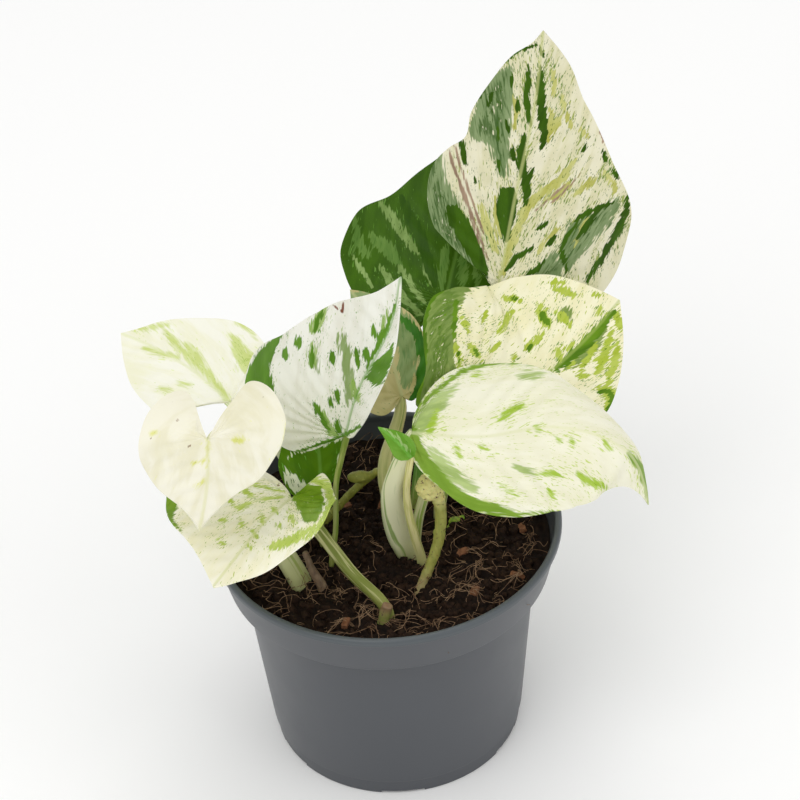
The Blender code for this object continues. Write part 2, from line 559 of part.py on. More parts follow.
def sampled(path, radii):
    """Even points along a smooth path, with the radius at each."""
    share = np.linspace(0, 1, STEM_POINTS)
    return along(path, share), np.interp(share, np.linspace(0, 1, len(radii)), radii)


def stem_lines():
    """Centre line and radii of everything that stands in the soil."""
    lines = {name: sampled(leaf["stalk"], leaf["stalk_radii"]) for name, leaf in LEAVES.items()}
    lines.update({name: sampled(stem["path"], stem["radii"]) for name, stem in STEMS.items()})
    lines["bud_shoot"] = sampled(BUD_SHOOT, BUD_SHOOT_RADII)
    return lines


def stalk_and_rib(leaf):
    """Centre line and radii of a leaf's stalk, which runs on under the midrib and thins out."""
    points, sizes = sampled(leaf["stalk"], leaf["stalk_radii"])
    u = np.linspace(0, RIB_END, RIB_POINTS + 1)[1:]
    place, _, _, up = rib_frame(leaf, u)
    thin = np.linspace(sizes[-1], RIB_TIP_RADIUS, RIB_POINTS + 1)[1:]
    sunk = place - up * (thin - BLADE_THICKNESS / 3)[:, None]
    points[-1] = points[-1] - rib_frame(leaf, np.array([0.0]))[3][0] * (sizes[-1] - BLADE_THICKNESS) / 2
    return np.vstack([points, sunk]), np.concatenate([sizes, thin])


def make_leaf(name, leaf, parts, guides):
    lobe_spokes, rib_spokes, rows = SMALL_HALF_LINES if name in SMALL_LEAVES else HALF_LINES
    vertices, faces = [], []
    for side in ("left", "right"):
        grid = half_grid(leaf, side, lobe_spokes, rib_spokes, rows) * MM
        first = len(vertices)
        vertices.extend(grid.reshape(-1, 3).tolist())
        for i in range(grid.shape[0] - 1):
            for j in range(rows):
                a = first + i * (rows + 1) + j
                b, c, d = a + 1, a + rows + 2, a + rows + 1
                pair = [(a, b, c), (a, c, d)] if side == "right" else [(a, c, b), (a, d, c)]
                faces.extend(pair)
    mesh = bpy.data.meshes.new(name)
    mesh.from_pydata(vertices, [], faces)
    weld(mesh)
    blade = add_object(name, mesh, parts, finish(name + "_green", leaf["colour"], 0.4))
    thick = blade.modifiers.new("thickness", "SOLIDIFY")
    thick.thickness = BLADE_THICKNESS * MM
    thick.offset = 0
    points, sizes = stalk_and_rib(leaf)
    stalk = add_guide(name + "_stalk", tube(name + "_stalk", points, sizes, guides), guides)
    boolean(blade, "UNION", stalk)
    return blade


def make_stem(name, stem, parts, guides):
    points, sizes = sampled(stem["path"], stem["radii"])
    bark = finish(name + "_bark", stem["colour"], 0.6)
    made = add_object(name, tube(name, points, sizes, guides), parts, bark)
    for k, (centre, radii) in enumerate(stem["lumps"]):
        swelling = "%s_lump_%d" % (name, k)
        boolean(made, "UNION", add_guide(swelling, lump(swelling, centre, radii), guides))


def add_bud_shoot(hidden_leaf, guides):
    """The thin shoot with its bud, fused into the sheath it grows out of."""
    points, sizes = sampled(BUD_SHOOT, BUD_SHOOT_RADII)
    shoot = add_guide("bud_shoot", tube("bud_shoot", points, sizes, guides), guides)
    boolean(hidden_leaf, "UNION", shoot)
    boolean(hidden_leaf, "UNION", add_guide("bud", lump("bud", *BUD), guides))


def main():
    for thing in list(bpy.data.objects):
        bpy.data.objects.remove(thing)
    parts = collection("potted_pothos", bpy.context.scene.collection)
    guides = collection("cutters", bpy.context.scene.collection)
    make_pot(parts, guides)
    make_soil(parts, guides)
    leaves = {name: make_leaf(name, leaf, parts, guides) for name, leaf in LEAVES.items()}
    add_bud_shoot(leaves["leaf_hidden"], guides)
    for name, stem in STEMS.items():
        make_stem(name, stem, parts, guides)


main()
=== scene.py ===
# %% [markdown]
# A young marbled pothos in a 12 cm nursery pot. The solids that stand, collide and weigh come from the
# CAD frame. This lesson dresses them: thin waxy leaves with green streaks, long stalks, peat with bark
# and root fibres, and a moulded pot. Everything is in metres, in the frame's own place.

import json
import math

import bmesh
import bpy
import numpy as np
from mathutils import Matrix, Vector, noise

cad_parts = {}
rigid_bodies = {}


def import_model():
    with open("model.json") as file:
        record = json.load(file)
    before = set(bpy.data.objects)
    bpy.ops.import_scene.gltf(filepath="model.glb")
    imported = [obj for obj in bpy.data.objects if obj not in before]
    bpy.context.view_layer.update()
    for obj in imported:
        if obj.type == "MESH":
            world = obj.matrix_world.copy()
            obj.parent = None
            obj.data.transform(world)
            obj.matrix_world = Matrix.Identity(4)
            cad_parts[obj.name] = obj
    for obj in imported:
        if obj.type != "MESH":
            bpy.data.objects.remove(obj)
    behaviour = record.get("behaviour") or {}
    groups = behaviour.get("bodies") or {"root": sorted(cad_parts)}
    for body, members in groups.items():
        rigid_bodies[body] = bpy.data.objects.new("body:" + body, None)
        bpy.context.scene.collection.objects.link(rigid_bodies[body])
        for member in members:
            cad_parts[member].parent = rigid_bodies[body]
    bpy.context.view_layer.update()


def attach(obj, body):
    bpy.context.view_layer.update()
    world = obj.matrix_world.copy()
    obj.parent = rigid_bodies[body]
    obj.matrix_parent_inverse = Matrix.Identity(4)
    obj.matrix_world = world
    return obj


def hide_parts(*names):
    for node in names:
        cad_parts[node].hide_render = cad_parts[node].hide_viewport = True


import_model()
MM = 0.001


# %% [markdown]
# Every finish below is a small tree of shader nodes. Colours are written as they look on a screen, as
# sRGB hex values, and a shader works with linear light, so one function turns them. A second one gives
# the inputs of a node what feeds them, and a third adds a node, so each finish reads as a list of what
# it is made of. A colour Mix node has several inputs of one name, so those it uses have a number.

# %% Colours and nodes
MIX_SHARE, MIX_FROM, MIX_TO = 0, 6, 7
MIX_RESULT = 2


def linear(hex_colour):
    """Linear red, green, blue and alpha of an sRGB hex colour."""
    parts = [int(hex_colour[k:k + 2], 16) / 255 for k in (1, 3, 5)]
    return [c / 12.92 if c <= 0.04045 else ((c + 0.055) / 1.055) ** 2.4 for c in parts] + [1.0]


def feed(tree, node, inputs):
    """Gives each input its value, its hex colour, or the output (of a node the first) that feeds it."""
    for key, value in inputs.items():
        if isinstance(value, str):
            value = linear(value)
        if isinstance(value, bpy.types.Node):
            value = value.outputs[0]
        if isinstance(value, bpy.types.NodeSocket):
            tree.links.new(value, node.inputs[key])
        else:
            node.inputs[key].default_value = value


def add(tree, kind, inputs=None, **settings):
    """One node with its settings and its inputs."""
    made = tree.nodes.new(kind)
    for key, value in settings.items():
        setattr(made, key, value)
    feed(tree, made, inputs or {})
    return made


def new_finish(name):
    """A material with a Principled shader, its node tree and the shader."""
    material = bpy.data.materials.new(name)
    material.use_nodes = True
    return material, material.node_tree, material.node_tree.nodes["Principled BSDF"]


# %% [markdown]
# The camera stands where the photographer's did: looking down at 38 degrees from 0.8 m, and turned by a
# few degrees. The same numbers are used once more below, to say where a point of a leaf falls in the
# picture, because the marks on each leaf are placed at the pixels where the photograph has them.

# %% Camera
CAMERA_TARGET = np.array([7.4, 0.0, 139.8])
CAMERA_DISTANCE = 800.0
CAMERA_ELEVATION = math.radians(38.09)
CAMERA_ROLL = math.radians(-3.58)
FOCAL_PIXELS = 2438.5
PICTURE_SIZE = 800
SENSOR_WIDTH = 36.0

camera_right = np.array([1.0, 0.0, 0.0])
camera_up = np.array([0.0, math.sin(CAMERA_ELEVATION), math.cos(CAMERA_ELEVATION)])
camera_back = np.array([0.0, -math.cos(CAMERA_ELEVATION), math.sin(CAMERA_ELEVATION)])
camera_place = CAMERA_TARGET + camera_back * CAMERA_DISTANCE

camera_data = bpy.data.cameras.new("camera")
camera_data.sensor_width = SENSOR_WIDTH
camera_data.lens = FOCAL_PIXELS / PICTURE_SIZE * SENSOR_WIDTH
camera = bpy.data.objects.new("camera", camera_data)
bpy.context.scene.collection.objects.link(camera)
axes = Matrix([camera_right, camera_up, camera_back]).transposed().to_4x4()
placed = Matrix.Translation(Vector(camera_place * MM)) @ axes
camera.matrix_world = placed @ Matrix.Rotation(CAMERA_ROLL, 4, "Z")
bpy.context.scene.camera = camera
print("camera lens %.1f mm" % camera_data.lens)


def photo_place(points):
    """Pixel of the photograph, from its top left corner, that each point in millimetres falls on."""
    offset = points - camera_place
    depth = -(offset @ camera_back)
    across = offset @ camera_right / depth * FOCAL_PIXELS
    down = -(offset @ camera_up) / depth * FOCAL_PIXELS
    turn_c, turn_s = math.cos(CAMERA_ROLL), math.sin(CAMERA_ROLL)
    return np.stack([across * turn_c - down * turn_s, across * turn_s + down * turn_c], -1) + PICTURE_SIZE / 2


# %% [markdown]
# The studio is a pale floor, a bright even sky and three large soft lights, so that shadows stay faint
# and the white leaves keep their shape without a hard edge anywhere.

# %% Studio
FLOOR_SIDE = 8.0
PAPER_ROUGHNESS = 0.9
PAPER_SHEEN = 0.1
SKY_STRENGTH = 0.66
LIGHTS = {
    "key": dict(place=(-0.7, -1.1, 1.9), size=1.9, power=15.5),
    "fill": dict(place=(1.5, -0.9, 1.1), size=1.6, power=5.0),
    "top": dict(place=(0.2, 0.8, 2.2), size=1.4, power=8.0),
}
bpy.context.scene.view_settings.view_transform = "Standard"
world = bpy.data.worlds.new("studio")
bpy.context.scene.world = world
world.use_nodes = True
sky = world.node_tree.nodes["Background"]
feed(world.node_tree, sky, {"Color": "#ffffff", "Strength": SKY_STRENGTH})
for name, light in LIGHTS.items():
    lamp = bpy.data.lights.new(name, "AREA")
    lamp.shape = "DISK"
    lamp.size = light["size"]
    lamp.energy = light["power"]
    stand = bpy.data.objects.new(name, lamp)
    stand.location = light["place"]
    aim = Vector(CAMERA_TARGET * MM) - stand.location
    stand.rotation_euler = aim.to_track_quat("-Z", "Y").to_euler()
    bpy.context.scene.collection.objects.link(stand)

floor_mesh = bpy.data.meshes.new("floor")
half_side = FLOOR_SIDE / 2
floor_corners = [(x * half_side, y * half_side, 0) for x, y in ((-1, -1), (1, -1), (1, 1), (-1, 1))]
floor_mesh.from_pydata(floor_corners, [], [(0, 1, 2, 3)])
floor = bpy.data.objects.new("floor", floor_mesh)
bpy.context.scene.collection.objects.link(floor)
paper, paper_tree, paper_shader = new_finish("matt_background_paper")
feed(paper_tree, paper_shader,
     {"Base Color": "#fdfdfc", "Roughness": PAPER_ROUGHNESS, "Specular IOR Level": PAPER_SHEEN})
floor_mesh.materials.append(paper)
print("lights:", ", ".join(LIGHTS))


# %% [markdown]
# All pieces ride on the one body, since nothing here moves. Each is made in its final place with its
# object at the origin, so a pattern in Object coordinates stays where it was put.

# %% Adding a finished piece
SMOOTH_UP_TO = math.radians(50)


def add_piece(name, mesh, replaced=(), sharp_above=SMOOTH_UP_TO):
    """Puts a finished mesh in the scene, riding on the body and standing for its CAD nodes."""
    mesh.name = name
    mesh.shade_smooth()
    mesh.set_sharp_from_angle(angle=sharp_above)
    made = bpy.data.objects.new(name, mesh)
    bpy.context.scene.collection.objects.link(made)
    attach(made, "root")
    if replaced:
        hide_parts(*replaced)
    triangles = sum(len(face.vertices) - 2 for face in mesh.polygons)
    print("%-14s %7d triangles" % (name, triangles))
    return made


def evaluated_copy(thing):
    """The plain mesh that an object's modifiers give."""
    state = thing.evaluated_get(bpy.context.evaluated_depsgraph_get())
    return bpy.data.meshes.new_from_object(state)


# %% [markdown]
# A leaf is a smooth curve for its midrib, a direction that its face looks at, and two halves that fold
# and curl away from the midrib. These few numbers per leaf are the same as in the solids, so the fine
# leaf lies exactly where the coarse one collides. A curve through a few listed points gives the rest.

# %% Curves and the shape of a blade
END_SLOPE = 1.5
CURVE_SAMPLES = 200
RIB_STEP = 0.001
WAVE_SHIFT = 2.1
WAVE_REACH = 1.3
HEEL_REACH = 0.25


def unit(vectors):
    vectors = np.asarray(vectors, float)
    return vectors / np.linalg.norm(vectors, axis=-1, keepdims=True)


def along(points, fractions):
    """Points at the given fractions of a smooth curve through a few points."""
    points = np.asarray(points, float)
    gaps = np.linalg.norm(np.diff(points, axis=0), axis=1)
    knots = np.concatenate([[0.0], np.cumsum(gaps)])
    chords = np.diff(points, axis=0) / gaps[:, None]
    slopes = np.empty_like(points)
    share = (gaps[1:] / (gaps[1:] + gaps[:-1]))[:, None]
    slopes[1:-1] = chords[:-1] * share + chords[1:] * (1 - share)
    slopes[0] = END_SLOPE * chords[0] + (1 - END_SLOPE) * slopes[1]
    slopes[-1] = END_SLOPE * chords[-1] + (1 - END_SLOPE) * slopes[-2]
    place = np.clip(np.asarray(fractions, float), 0, 1) * knots[-1]
    k = np.clip(np.searchsorted(knots, place, side="right") - 1, 0, len(gaps) - 1)
    t = ((place - knots[k]) / gaps[k])[..., None]
    gap = gaps[k][..., None]
    start = (2 * t ** 3 - 3 * t ** 2 + 1) * points[k] + (t ** 3 - 2 * t ** 2 + t) * gap * slopes[k]
    end = (3 * t ** 2 - 2 * t ** 3) * points[k + 1] + (t ** 3 - t ** 2) * gap * slopes[k + 1]
    return start + end


def curve_length(points):
    steps = np.diff(along(points, np.linspace(0, 1, CURVE_SAMPLES)), axis=0)
    return np.linalg.norm(steps, axis=1).sum()


def rib_frame(leaf, u):
    """Place on the midrib, its direction, the direction across to the right and the face's normal."""
    place = along(leaf["rib"], u)
    past, before = np.clip(u + RIB_STEP, 0, 1), np.clip(u - RIB_STEP, 0, 1)
    ahead = unit(along(leaf["rib"], past) - along(leaf["rib"], before))
    low, high = unit(leaf["face"][0]), unit(leaf["face"][1])
    up = unit(low + (high - low) * u[..., None])
    across = unit(np.cross(ahead, up))
    return place, ahead, across, np.cross(across, ahead)


def blend(ends, u):
    return ends[0] + (ends[1] - ends[0]) * np.clip(u, 0, 1)


def blade_point(leaf, u, v):
    """Point of the blade at fraction u of the midrib and v mm to the right of it."""
    place, ahead, across, up = rib_frame(leaf, np.clip(u, 0, 1))
    behind = np.minimum(u, 0)
    is_left = v < 0
    reach = np.abs(v)
    part = reach / np.where(is_left, leaf["wide"][0], leaf["wide"][1])
    fold = np.radians(np.where(is_left, blend(leaf["fold"][0], u), blend(leaf["fold"][1], u)))
    curl = np.radians(np.where(is_left, blend(leaf["curl"][0], u), blend(leaf["curl"][1], u)))
    half_turn = curl * part / 2
    chord = reach * np.sinc(half_turn / np.pi)
    angle = fold + half_turn
    height, count, phase = leaf["wave"]
    turn = 2 * np.pi * (count * u + phase) + np.where(is_left, 0.0, WAVE_SHIFT)
    ripple = height * np.clip(part, 0, WAVE_REACH) ** 2 * np.sin(turn)
    lobe_lift = leaf["heel"] * (behind / HEEL_REACH) ** 2
    out = chord * np.cos(angle) * np.sign(v)
    rise = chord * np.sin(angle) + ripple + lobe_lift
    back = behind * curve_length(leaf["rib"])
    return place + ahead * back[..., None] + across * out[..., None] + up * rise[..., None]


# %% [markdown]
# The eleven leaves. Each has its midrib, the way its face looks at the joint and the tip, the width that
# fold and curl are given for, its edge waves, the outline of both halves as (fraction of the midrib,
# millimetres from it), and its stalk from the soil to the joint.

# %% The leaves' own sizes
LEAVES = {
    "leaf_top": dict(
        rib=[(43.4, 54, 142.2), (50.4, 65, 171.2), (59, 78.5, 201), (63, 87.5, 224.4)],
        face=((0.15, -0.85, 0.5), (-0.1, -0.9, 0.4)), wide=(32, 32),
        fold=((18, 10), (-4, 10)), curl=((-40, -20), (-15, -10)), wave=(1.0, 2.0, 0.1), heel=0,
        left=[(0.03, 4), (0.12, 13), (0.15, 20), (0.21, 25.5), (0.32, 30), (0.44, 29.5), (0.50, 26),
              (0.55, 21.5), (0.65, 21), (0.80, 15.5), (0.90, 9.5), (0.955, 3)],
        right=[(-0.08, 8), (-0.13, 24), (0.0, 39.5), (0.12, 43.5), (0.26, 43.5), (0.43, 40), (0.58, 29.5),
               (0.70, 21), (0.76, 16.5), (0.89, 9.8)],
        stalk=[(18, 10, 70), (18.5, 11, 80), (26, 26, 102), (37, 51, 123), (43.4, 54, 142.2)],
        stalk_radii=(2.2, 1.5)),
    "leaf_back": dict(
        rib=[(25.2, 58, 136.8), (35.3, 84, 156.3), (48.8, 110, 175.8)],
        face=((-0.1, -0.8, 0.6), (0.0, -0.6, 0.8)), wide=(34, 30),
        fold=((8, 8), (-8, 0)), curl=((-30, -20), (-30, -10)), wave=(1.0, 2.0, 0.4), heel=0,
        left=[(-0.16, 6), (-0.30, 14), (-0.16, 25), (0.05, 37.5), (0.2, 42), (0.36, 38.5), (0.47, 28),
              (0.66, 18.5), (0.88, 7)],
        right=[(-0.04, 5), (-0.03, 11), (0.05, 18), (0.18, 23), (0.34, 24), (0.52, 21), (0.75, 12),
               (0.92, 4)],
        stalk=[(10, 14, 70), (10.5, 15, 80), (15, 31, 98), (22, 49, 118), (25.2, 58, 136.8)],
        stalk_radii=(2.2, 1.5)),
    "leaf_right": dict(
        rib=[(25.5, 8, 131), (41, 17, 127), (55.5, 27, 124.5), (70, 38, 129), (85, 49, 139)],
        face=((0.0, -0.78, 0.62), (0.1, -0.6, 0.75)), wide=(34, 28),
        fold=((30, 10), (-10, -10)), curl=((-40, -30), (-30, -20)), wave=(0.6, 2.0, 0.0), heel=0,
        left=[(-0.12, 0.4), (-0.2, 1.5), (-0.2, 4.5), (-0.16, 12), (-0.15, 22), (-0.12, 30.4), (-0.05, 36.9),
              (0.06, 38.6), (0.3, 36.9), (0.55, 36.4), (0.7, 34), (0.88, 24.1), (0.95, 13.5)],
        right=[(-0.08, 6), (-0.12, 14), (-0.05, 22), (0.12, 27), (0.35, 28.5), (0.55, 27), (0.72, 21),
               (0.85, 12), (0.94, 5)],
        stalk=[(9.5, -2, 70), (9.7, -2, 80), (13.7, -1, 99), (19.5, 3, 110), (23.5, 6, 120), (25.5, 8, 131)],
        stalk_radii=(2.0, 1.5)),
    "leaf_front": dict(
        rib=[(10.5, -14, 137), (32, -17, 136), (58, -21, 141), (71.5, -23, 137.5), (80, -25, 131.5),
             (85, -27, 118.5), (86, -28, 112)],
        face=((0.0, -0.45, 0.9), (0.2, -0.5, 0.85)), wide=(28, 28),
        fold=((12, -50), (5, 0)), curl=((-25, -20), (-45, -20)), wave=(0.8, 2.0, 0.2), heel=0,
        left=[(0.0, 5), (0.02, 11), (0.09, 22), (0.20, 31), (0.32, 33), (0.47, 29.5), (0.61, 22.5),
              (0.75, 12), (0.88, 3.5)],
        right=[(-0.01, 5), (0.03, 11), (0.12, 18), (0.2, 23.5), (0.32, 28), (0.45, 28.3), (0.6, 26),
               (0.72, 22), (0.82, 14.5), (0.9, 5)],
        stalk=[(7.2, -9, 70), (7, -9.2, 80), (4.2, -10.5, 90), (2.7, -12, 102), (2.9, -13.5, 112.5),
               (5.3, -15, 122.5), (8.3, -15, 131), (10.5, -14, 137)],
        stalk_radii=(2.9, 2.4)),
    "leaf_middle": dict(
        rib=[(-11, -4, 129.5), (-5, -7, 152), (1.5, -9, 166.5), (6.5, -11, 179.5), (10, -12, 197.5)],
        face=((-0.35, -0.9, 0.2), (-0.35, -0.9, 0.1)), wide=(36, 20),
        fold=((5, 0), (50, 50)), curl=((-35, -10), (10, 10)), wave=(0.8, 2.0, 0.5), heel=0,
        left=[(-0.08, 5), (-0.2, 12), (-0.27, 20), (-0.26, 32), (-0.15, 42), (0.02, 44), (0.18, 39),
              (0.34, 30.5), (0.58, 22.5), (0.78, 14.5), (0.9, 6)],
        right=[(0.02, 2.5), (0.15, 8), (0.34, 12), (0.5, 12), (0.7, 7), (0.88, 2)],
        stalk=[(-19.4, -11, 70), (-19.2, -10.5, 80), (-17.2, -7.5, 90.5), (-15.7, -2, 107.8),
               (-13, -2, 119.6), (-11, -4, 129.5)],
        stalk_radii=(0.9, 1.0)),
    "leaf_hidden": dict(
        rib=[(8, 16, 129), (5.5, 28, 135), (0, 44, 140), (-7.5, 58, 144)],
        face=((0.2, -0.7, 0.7), (0.0, -0.6, 0.8)), wide=(22, 22),
        fold=((10, 10), (10, 10)), curl=((-30, -20), (-40, -20)), wave=(0.6, 2.0, 0.5), heel=0,
        left=[(-0.08, 3), (-0.14, 8), (-0.08, 13), (0.08, 16), (0.28, 16), (0.52, 13), (0.75, 7.5),
              (0.92, 2)],
        right=[(-0.05, 3), (0, 6.5), (0.2, 11), (0.38, 13.5), (0.55, 13), (0.75, 8), (0.92, 3)],
        stalk=[(3.4, 1.5, 70), (3.2, 1.5, 80), (2.5, 4, 94.5), (2.1, 6, 109.5), (5.4, 10, 119.5),
               (7.5, 13, 125.5), (8, 16, 129)],
        stalk_radii=(2.4, 3.4, 1.6)),
    "leaf_heart": dict(
        rib=[(-54.5, -24, 147.5), (-54, -48, 148.5), (-55.5, -72, 151)],
        face=((-0.05, -0.15, 0.95), (-0.05, -0.35, 0.9)), wide=(24, 24),
        fold=((14, 8), (14, 8)), curl=((-20, -10), (-20, -10)), wave=(0.6, 2.0, 0.3), heel=10,
        left=[(-0.1, 3.5), (-0.19, 9.5), (-0.25, 16), (-0.21, 22.5), (-0.08, 25.5), (0.1, 24.8), (0.3, 22),
              (0.5, 17.5), (0.65, 10), (0.82, 3.5)],
        right=[(-0.09, 3.5), (-0.18, 2.5), (-0.24, 4), (-0.25, 9), (-0.22, 14.5), (-0.16, 19), (-0.06, 21.6),
               (0.1, 22), (0.28, 20), (0.55, 14.5), (0.79, 5.7)],
        stalk=[(-28.5, -19, 70), (-30, -18.5, 79), (-38, -8, 91), (-45, 11, 103.5), (-50, 10, 122.5),
               (-51.5, -6, 137), (-54.5, -24, 147.5)],
        stalk_radii=(3.6, 3.0, 1.6, 1.4)),
    "leaf_left": dict(
        rib=[(-50.2, 21, 127.2), (-61.8, 34, 130.7), (-74.3, 45, 132.7), (-87.9, 55, 133.7)],
        face=((0.0, -0.45, 0.9), (0.0, -0.5, 0.85)), wide=(24, 24),
        fold=((8, 8), (8, 8)), curl=((-20, -20), (-20, -20)), wave=(0.8, 2.0, 0.6), heel=0,
        left=[(0.05, 3.5), (0.12, 8), (0.17, 13), (0.24, 18), (0.33, 20), (0.44, 19.3), (0.68, 15.8),
              (0.84, 9.5)],
        right=[(-0.03, 5), (-0.04, 11), (0.0, 17), (0.1, 22), (0.2, 24), (0.38, 24), (0.58, 17.5), (0.79, 9),
               (0.92, 3)],
        stalk=[(-27, 18, 70), (-27.5, 19, 80), (-34, 25, 98), (-44, 27, 115), (-50.2, 21, 127.2)],
        stalk_radii=(2.2, 1.4)),
    "leaf_low": dict(
        rib=[(-30.5, -12, 111), (-38.5, -34, 120), (-46, -54, 125), (-54, -68, 124)],
        face=((-0.1, -0.05, 0.95), (-0.1, -0.1, 0.9)), wide=(26, 34),
        fold=((-10, 5), (12, 5)), curl=((60, 20), (0, -5)), wave=(0.4, 2.0, 0.6), heel=3,
        left=[(-0.1, 1), (-0.22, 2), (-0.29, 4.5), (-0.24, 8), (-0.15, 11), (0.0, 15.5), (0.18, 20.5),
              (0.36, 24), (0.55, 25.5), (0.7, 22.5), (0.8, 16.5), (0.9, 10)],
        right=[(-0.1, 5), (-0.18, 14), (-0.16, 26), (-0.05, 35), (0.12, 38), (0.28, 37), (0.48, 32),
               (0.68, 24), (0.86, 11)],
        stalk=[(-0.5, -36.5, 70), (-1.5, -35.5, 80), (-12, -30, 92), (-22, -20.5, 103), (-30.5, -12, 111)],
        stalk_radii=(2.0, 2.4)),
    "leaf_shaded": dict(
        rib=[(-21.8, 4, 97.5), (-21, 8, 110), (-22, 16, 119), (-24, 25, 126)],
        face=((0.0, -0.7, 0.7), (0.0, -0.6, 0.8)), wide=(16, 12),
        fold=((0, 0), (10, 10)), curl=((-20, -20), (-10, -10)), wave=(0.4, 2.0, 0.0), heel=0,
        left=[(-0.05, 4), (-0.02, 9), (0.1, 12.5), (0.3, 14.5), (0.5, 13), (0.7, 9), (0.88, 4)],
        right=[(0.05, 2), (0.2, 5), (0.35, 7.5), (0.5, 9), (0.7, 7), (0.88, 3)],
        stalk=[(-22.3, -1, 70), (-22.2, 0, 80), (-22, 2, 90), (-21.8, 4, 97.5)],
        stalk_radii=(1.0, 0.9)),
    "leaf_young": dict(
        rib=[(10, -24.5, 135), (5.5, -25.5, 143), (0, -25.5, 149.5)],
        face=((-0.3, -0.6, 0.7), (0.0, -0.5, 0.8)), wide=(6, 6),
        fold=((20, 20), (20, 20)), curl=((10, 10), (10, 10)), wave=(0.0, 2.0, 0.0), heel=0,
        left=[(0.1, 2.5), (0.35, 4.2), (0.6, 3.2), (0.85, 1.2)],
        right=[(0.1, 2.5), (0.35, 4.2), (0.6, 3.2), (0.85, 1.2)],
        stalk=[(11.5, -14.5, 70), (11.5, -14.5, 80), (9.6, -15.5, 93), (8.0, -17, 105.5), (7.6, -19, 115),
               (8.3, -22, 125), (10, -24.5, 135)],
        stalk_radii=(1.9, 1.0)),
}
print("leaves:", ", ".join("%s %.0f mm" % (name, curve_length(leaf["rib"])) for name, leaf in LEAVES.items()))


# %% [markdown]
# On a living leaf the green and the white follow the side veins, which leave the midrib at a slant and
# run on into the base lobes. So the blade is a grid whose lines are those veins: one direction runs out
# along a vein, the other steps from vein to vein. Both distances are kept in a UV map called vein, in
# millimetres, and every streak and fleck is later drawn in it, stretched along the veins.

# %% A half blade as a grid of veins
BLADE_THICKNESS = 0.7
EDGE_THICKNESS = 0.3
VEIN_SLANT = 0.62
VEIN_BEND = 1.25
OUTLINE_SAMPLES = 400
NOTHING = 1e-6
VEIN_STEP = 0.85
ROW_STEP = 1.0
LOBE_STEP = 1.2
FEWEST_ROWS = 8
VEIN_MAP_ROW = 0.6


def half_sheet(leaf, side):
    """The half's veins as (fraction u, distance v, share of the way out), each a grid."""
    length = curve_length(leaf["rib"])
    flat = [(0.0, 0.0)] + [(u * length, v) for u, v in leaf[side]] + [(length, 0.0)]
    fine = np.linspace(0, 1, OUTLINE_SAMPLES)
    edge = along(flat, fine)
    root = np.clip((edge[:, 0] - VEIN_SLANT * edge[:, 1]) / length, 0, 1)
    root = np.maximum.accumulate(root)
    root[-1] = 1.0
    lobe_end = fine[np.argmax(root > NOTHING) - 1]
    in_lobe = int(curve_length(flat) * lobe_end / LOBE_STEP)
    stations = np.linspace(0, 1, int(length / VEIN_STEP) + 1)[1:]
    fan = np.linspace(0, lobe_end, in_lobe + 1) if in_lobe else np.zeros(1)
    spread = np.concatenate([fan, np.interp(stations, root, fine)])
    roots = np.concatenate([np.zeros(in_lobe + 1), stations])
    tips = along(flat, spread)
    rows = max(FEWEST_ROWS, int(edge[:, 1].max() / ROW_STEP))
    reach = np.linspace(0, 1, rows + 1)
    u = roots[:, None] + (tips[:, :1] / length - roots[:, None]) * reach ** VEIN_BEND
    v = tips[:, 1:] * reach
    return u, v if side == "right" else -v, np.broadcast_to(reach, u.shape)


# %% [markdown]
# The surface itself is not flat between the veins. The midrib lies in a shallow groove on the upper
# face, the blade swells a little between the larger side veins, and it has slow unevenness of its own.
# The height of all this is added along the surface's normal, found by stepping a little each way.

# %% Relief of the blade
NORMAL_STEP_U = 0.01
NORMAL_STEP_V = 0.2
RIB_CLEARANCE = 1.5
GROOVE_DEPTH = 0.45
GROOVE_WIDTH = 1.1
GROOVE_REACH = 1.1
SWELL_HEIGHT = 0.24
SWELL_PITCH = 6.5
UNEVEN_HEIGHT = 0.35
UNEVEN_LENGTH = 17.0
UNEVEN_WAY = (0.6, 0.5, 0.4)
SHORT_VEIN = 8.0
STREAK_LEAN = 1.4


def blade_normal(leaf, u, v, sign):
    """Normal of the upper face, taken a little away from the midrib's fold."""
    v = np.maximum(np.abs(v), NORMAL_STEP_V * RIB_CLEARANCE) * sign
    u = np.minimum(u, 1 - NORMAL_STEP_U)
    forward = blade_point(leaf, u + NORMAL_STEP_U, v) - blade_point(leaf, u - NORMAL_STEP_U, v)
    sideways = blade_point(leaf, u, v + NORMAL_STEP_V) - blade_point(leaf, u, v - NORMAL_STEP_V)
    return unit(np.cross(sideways, forward))


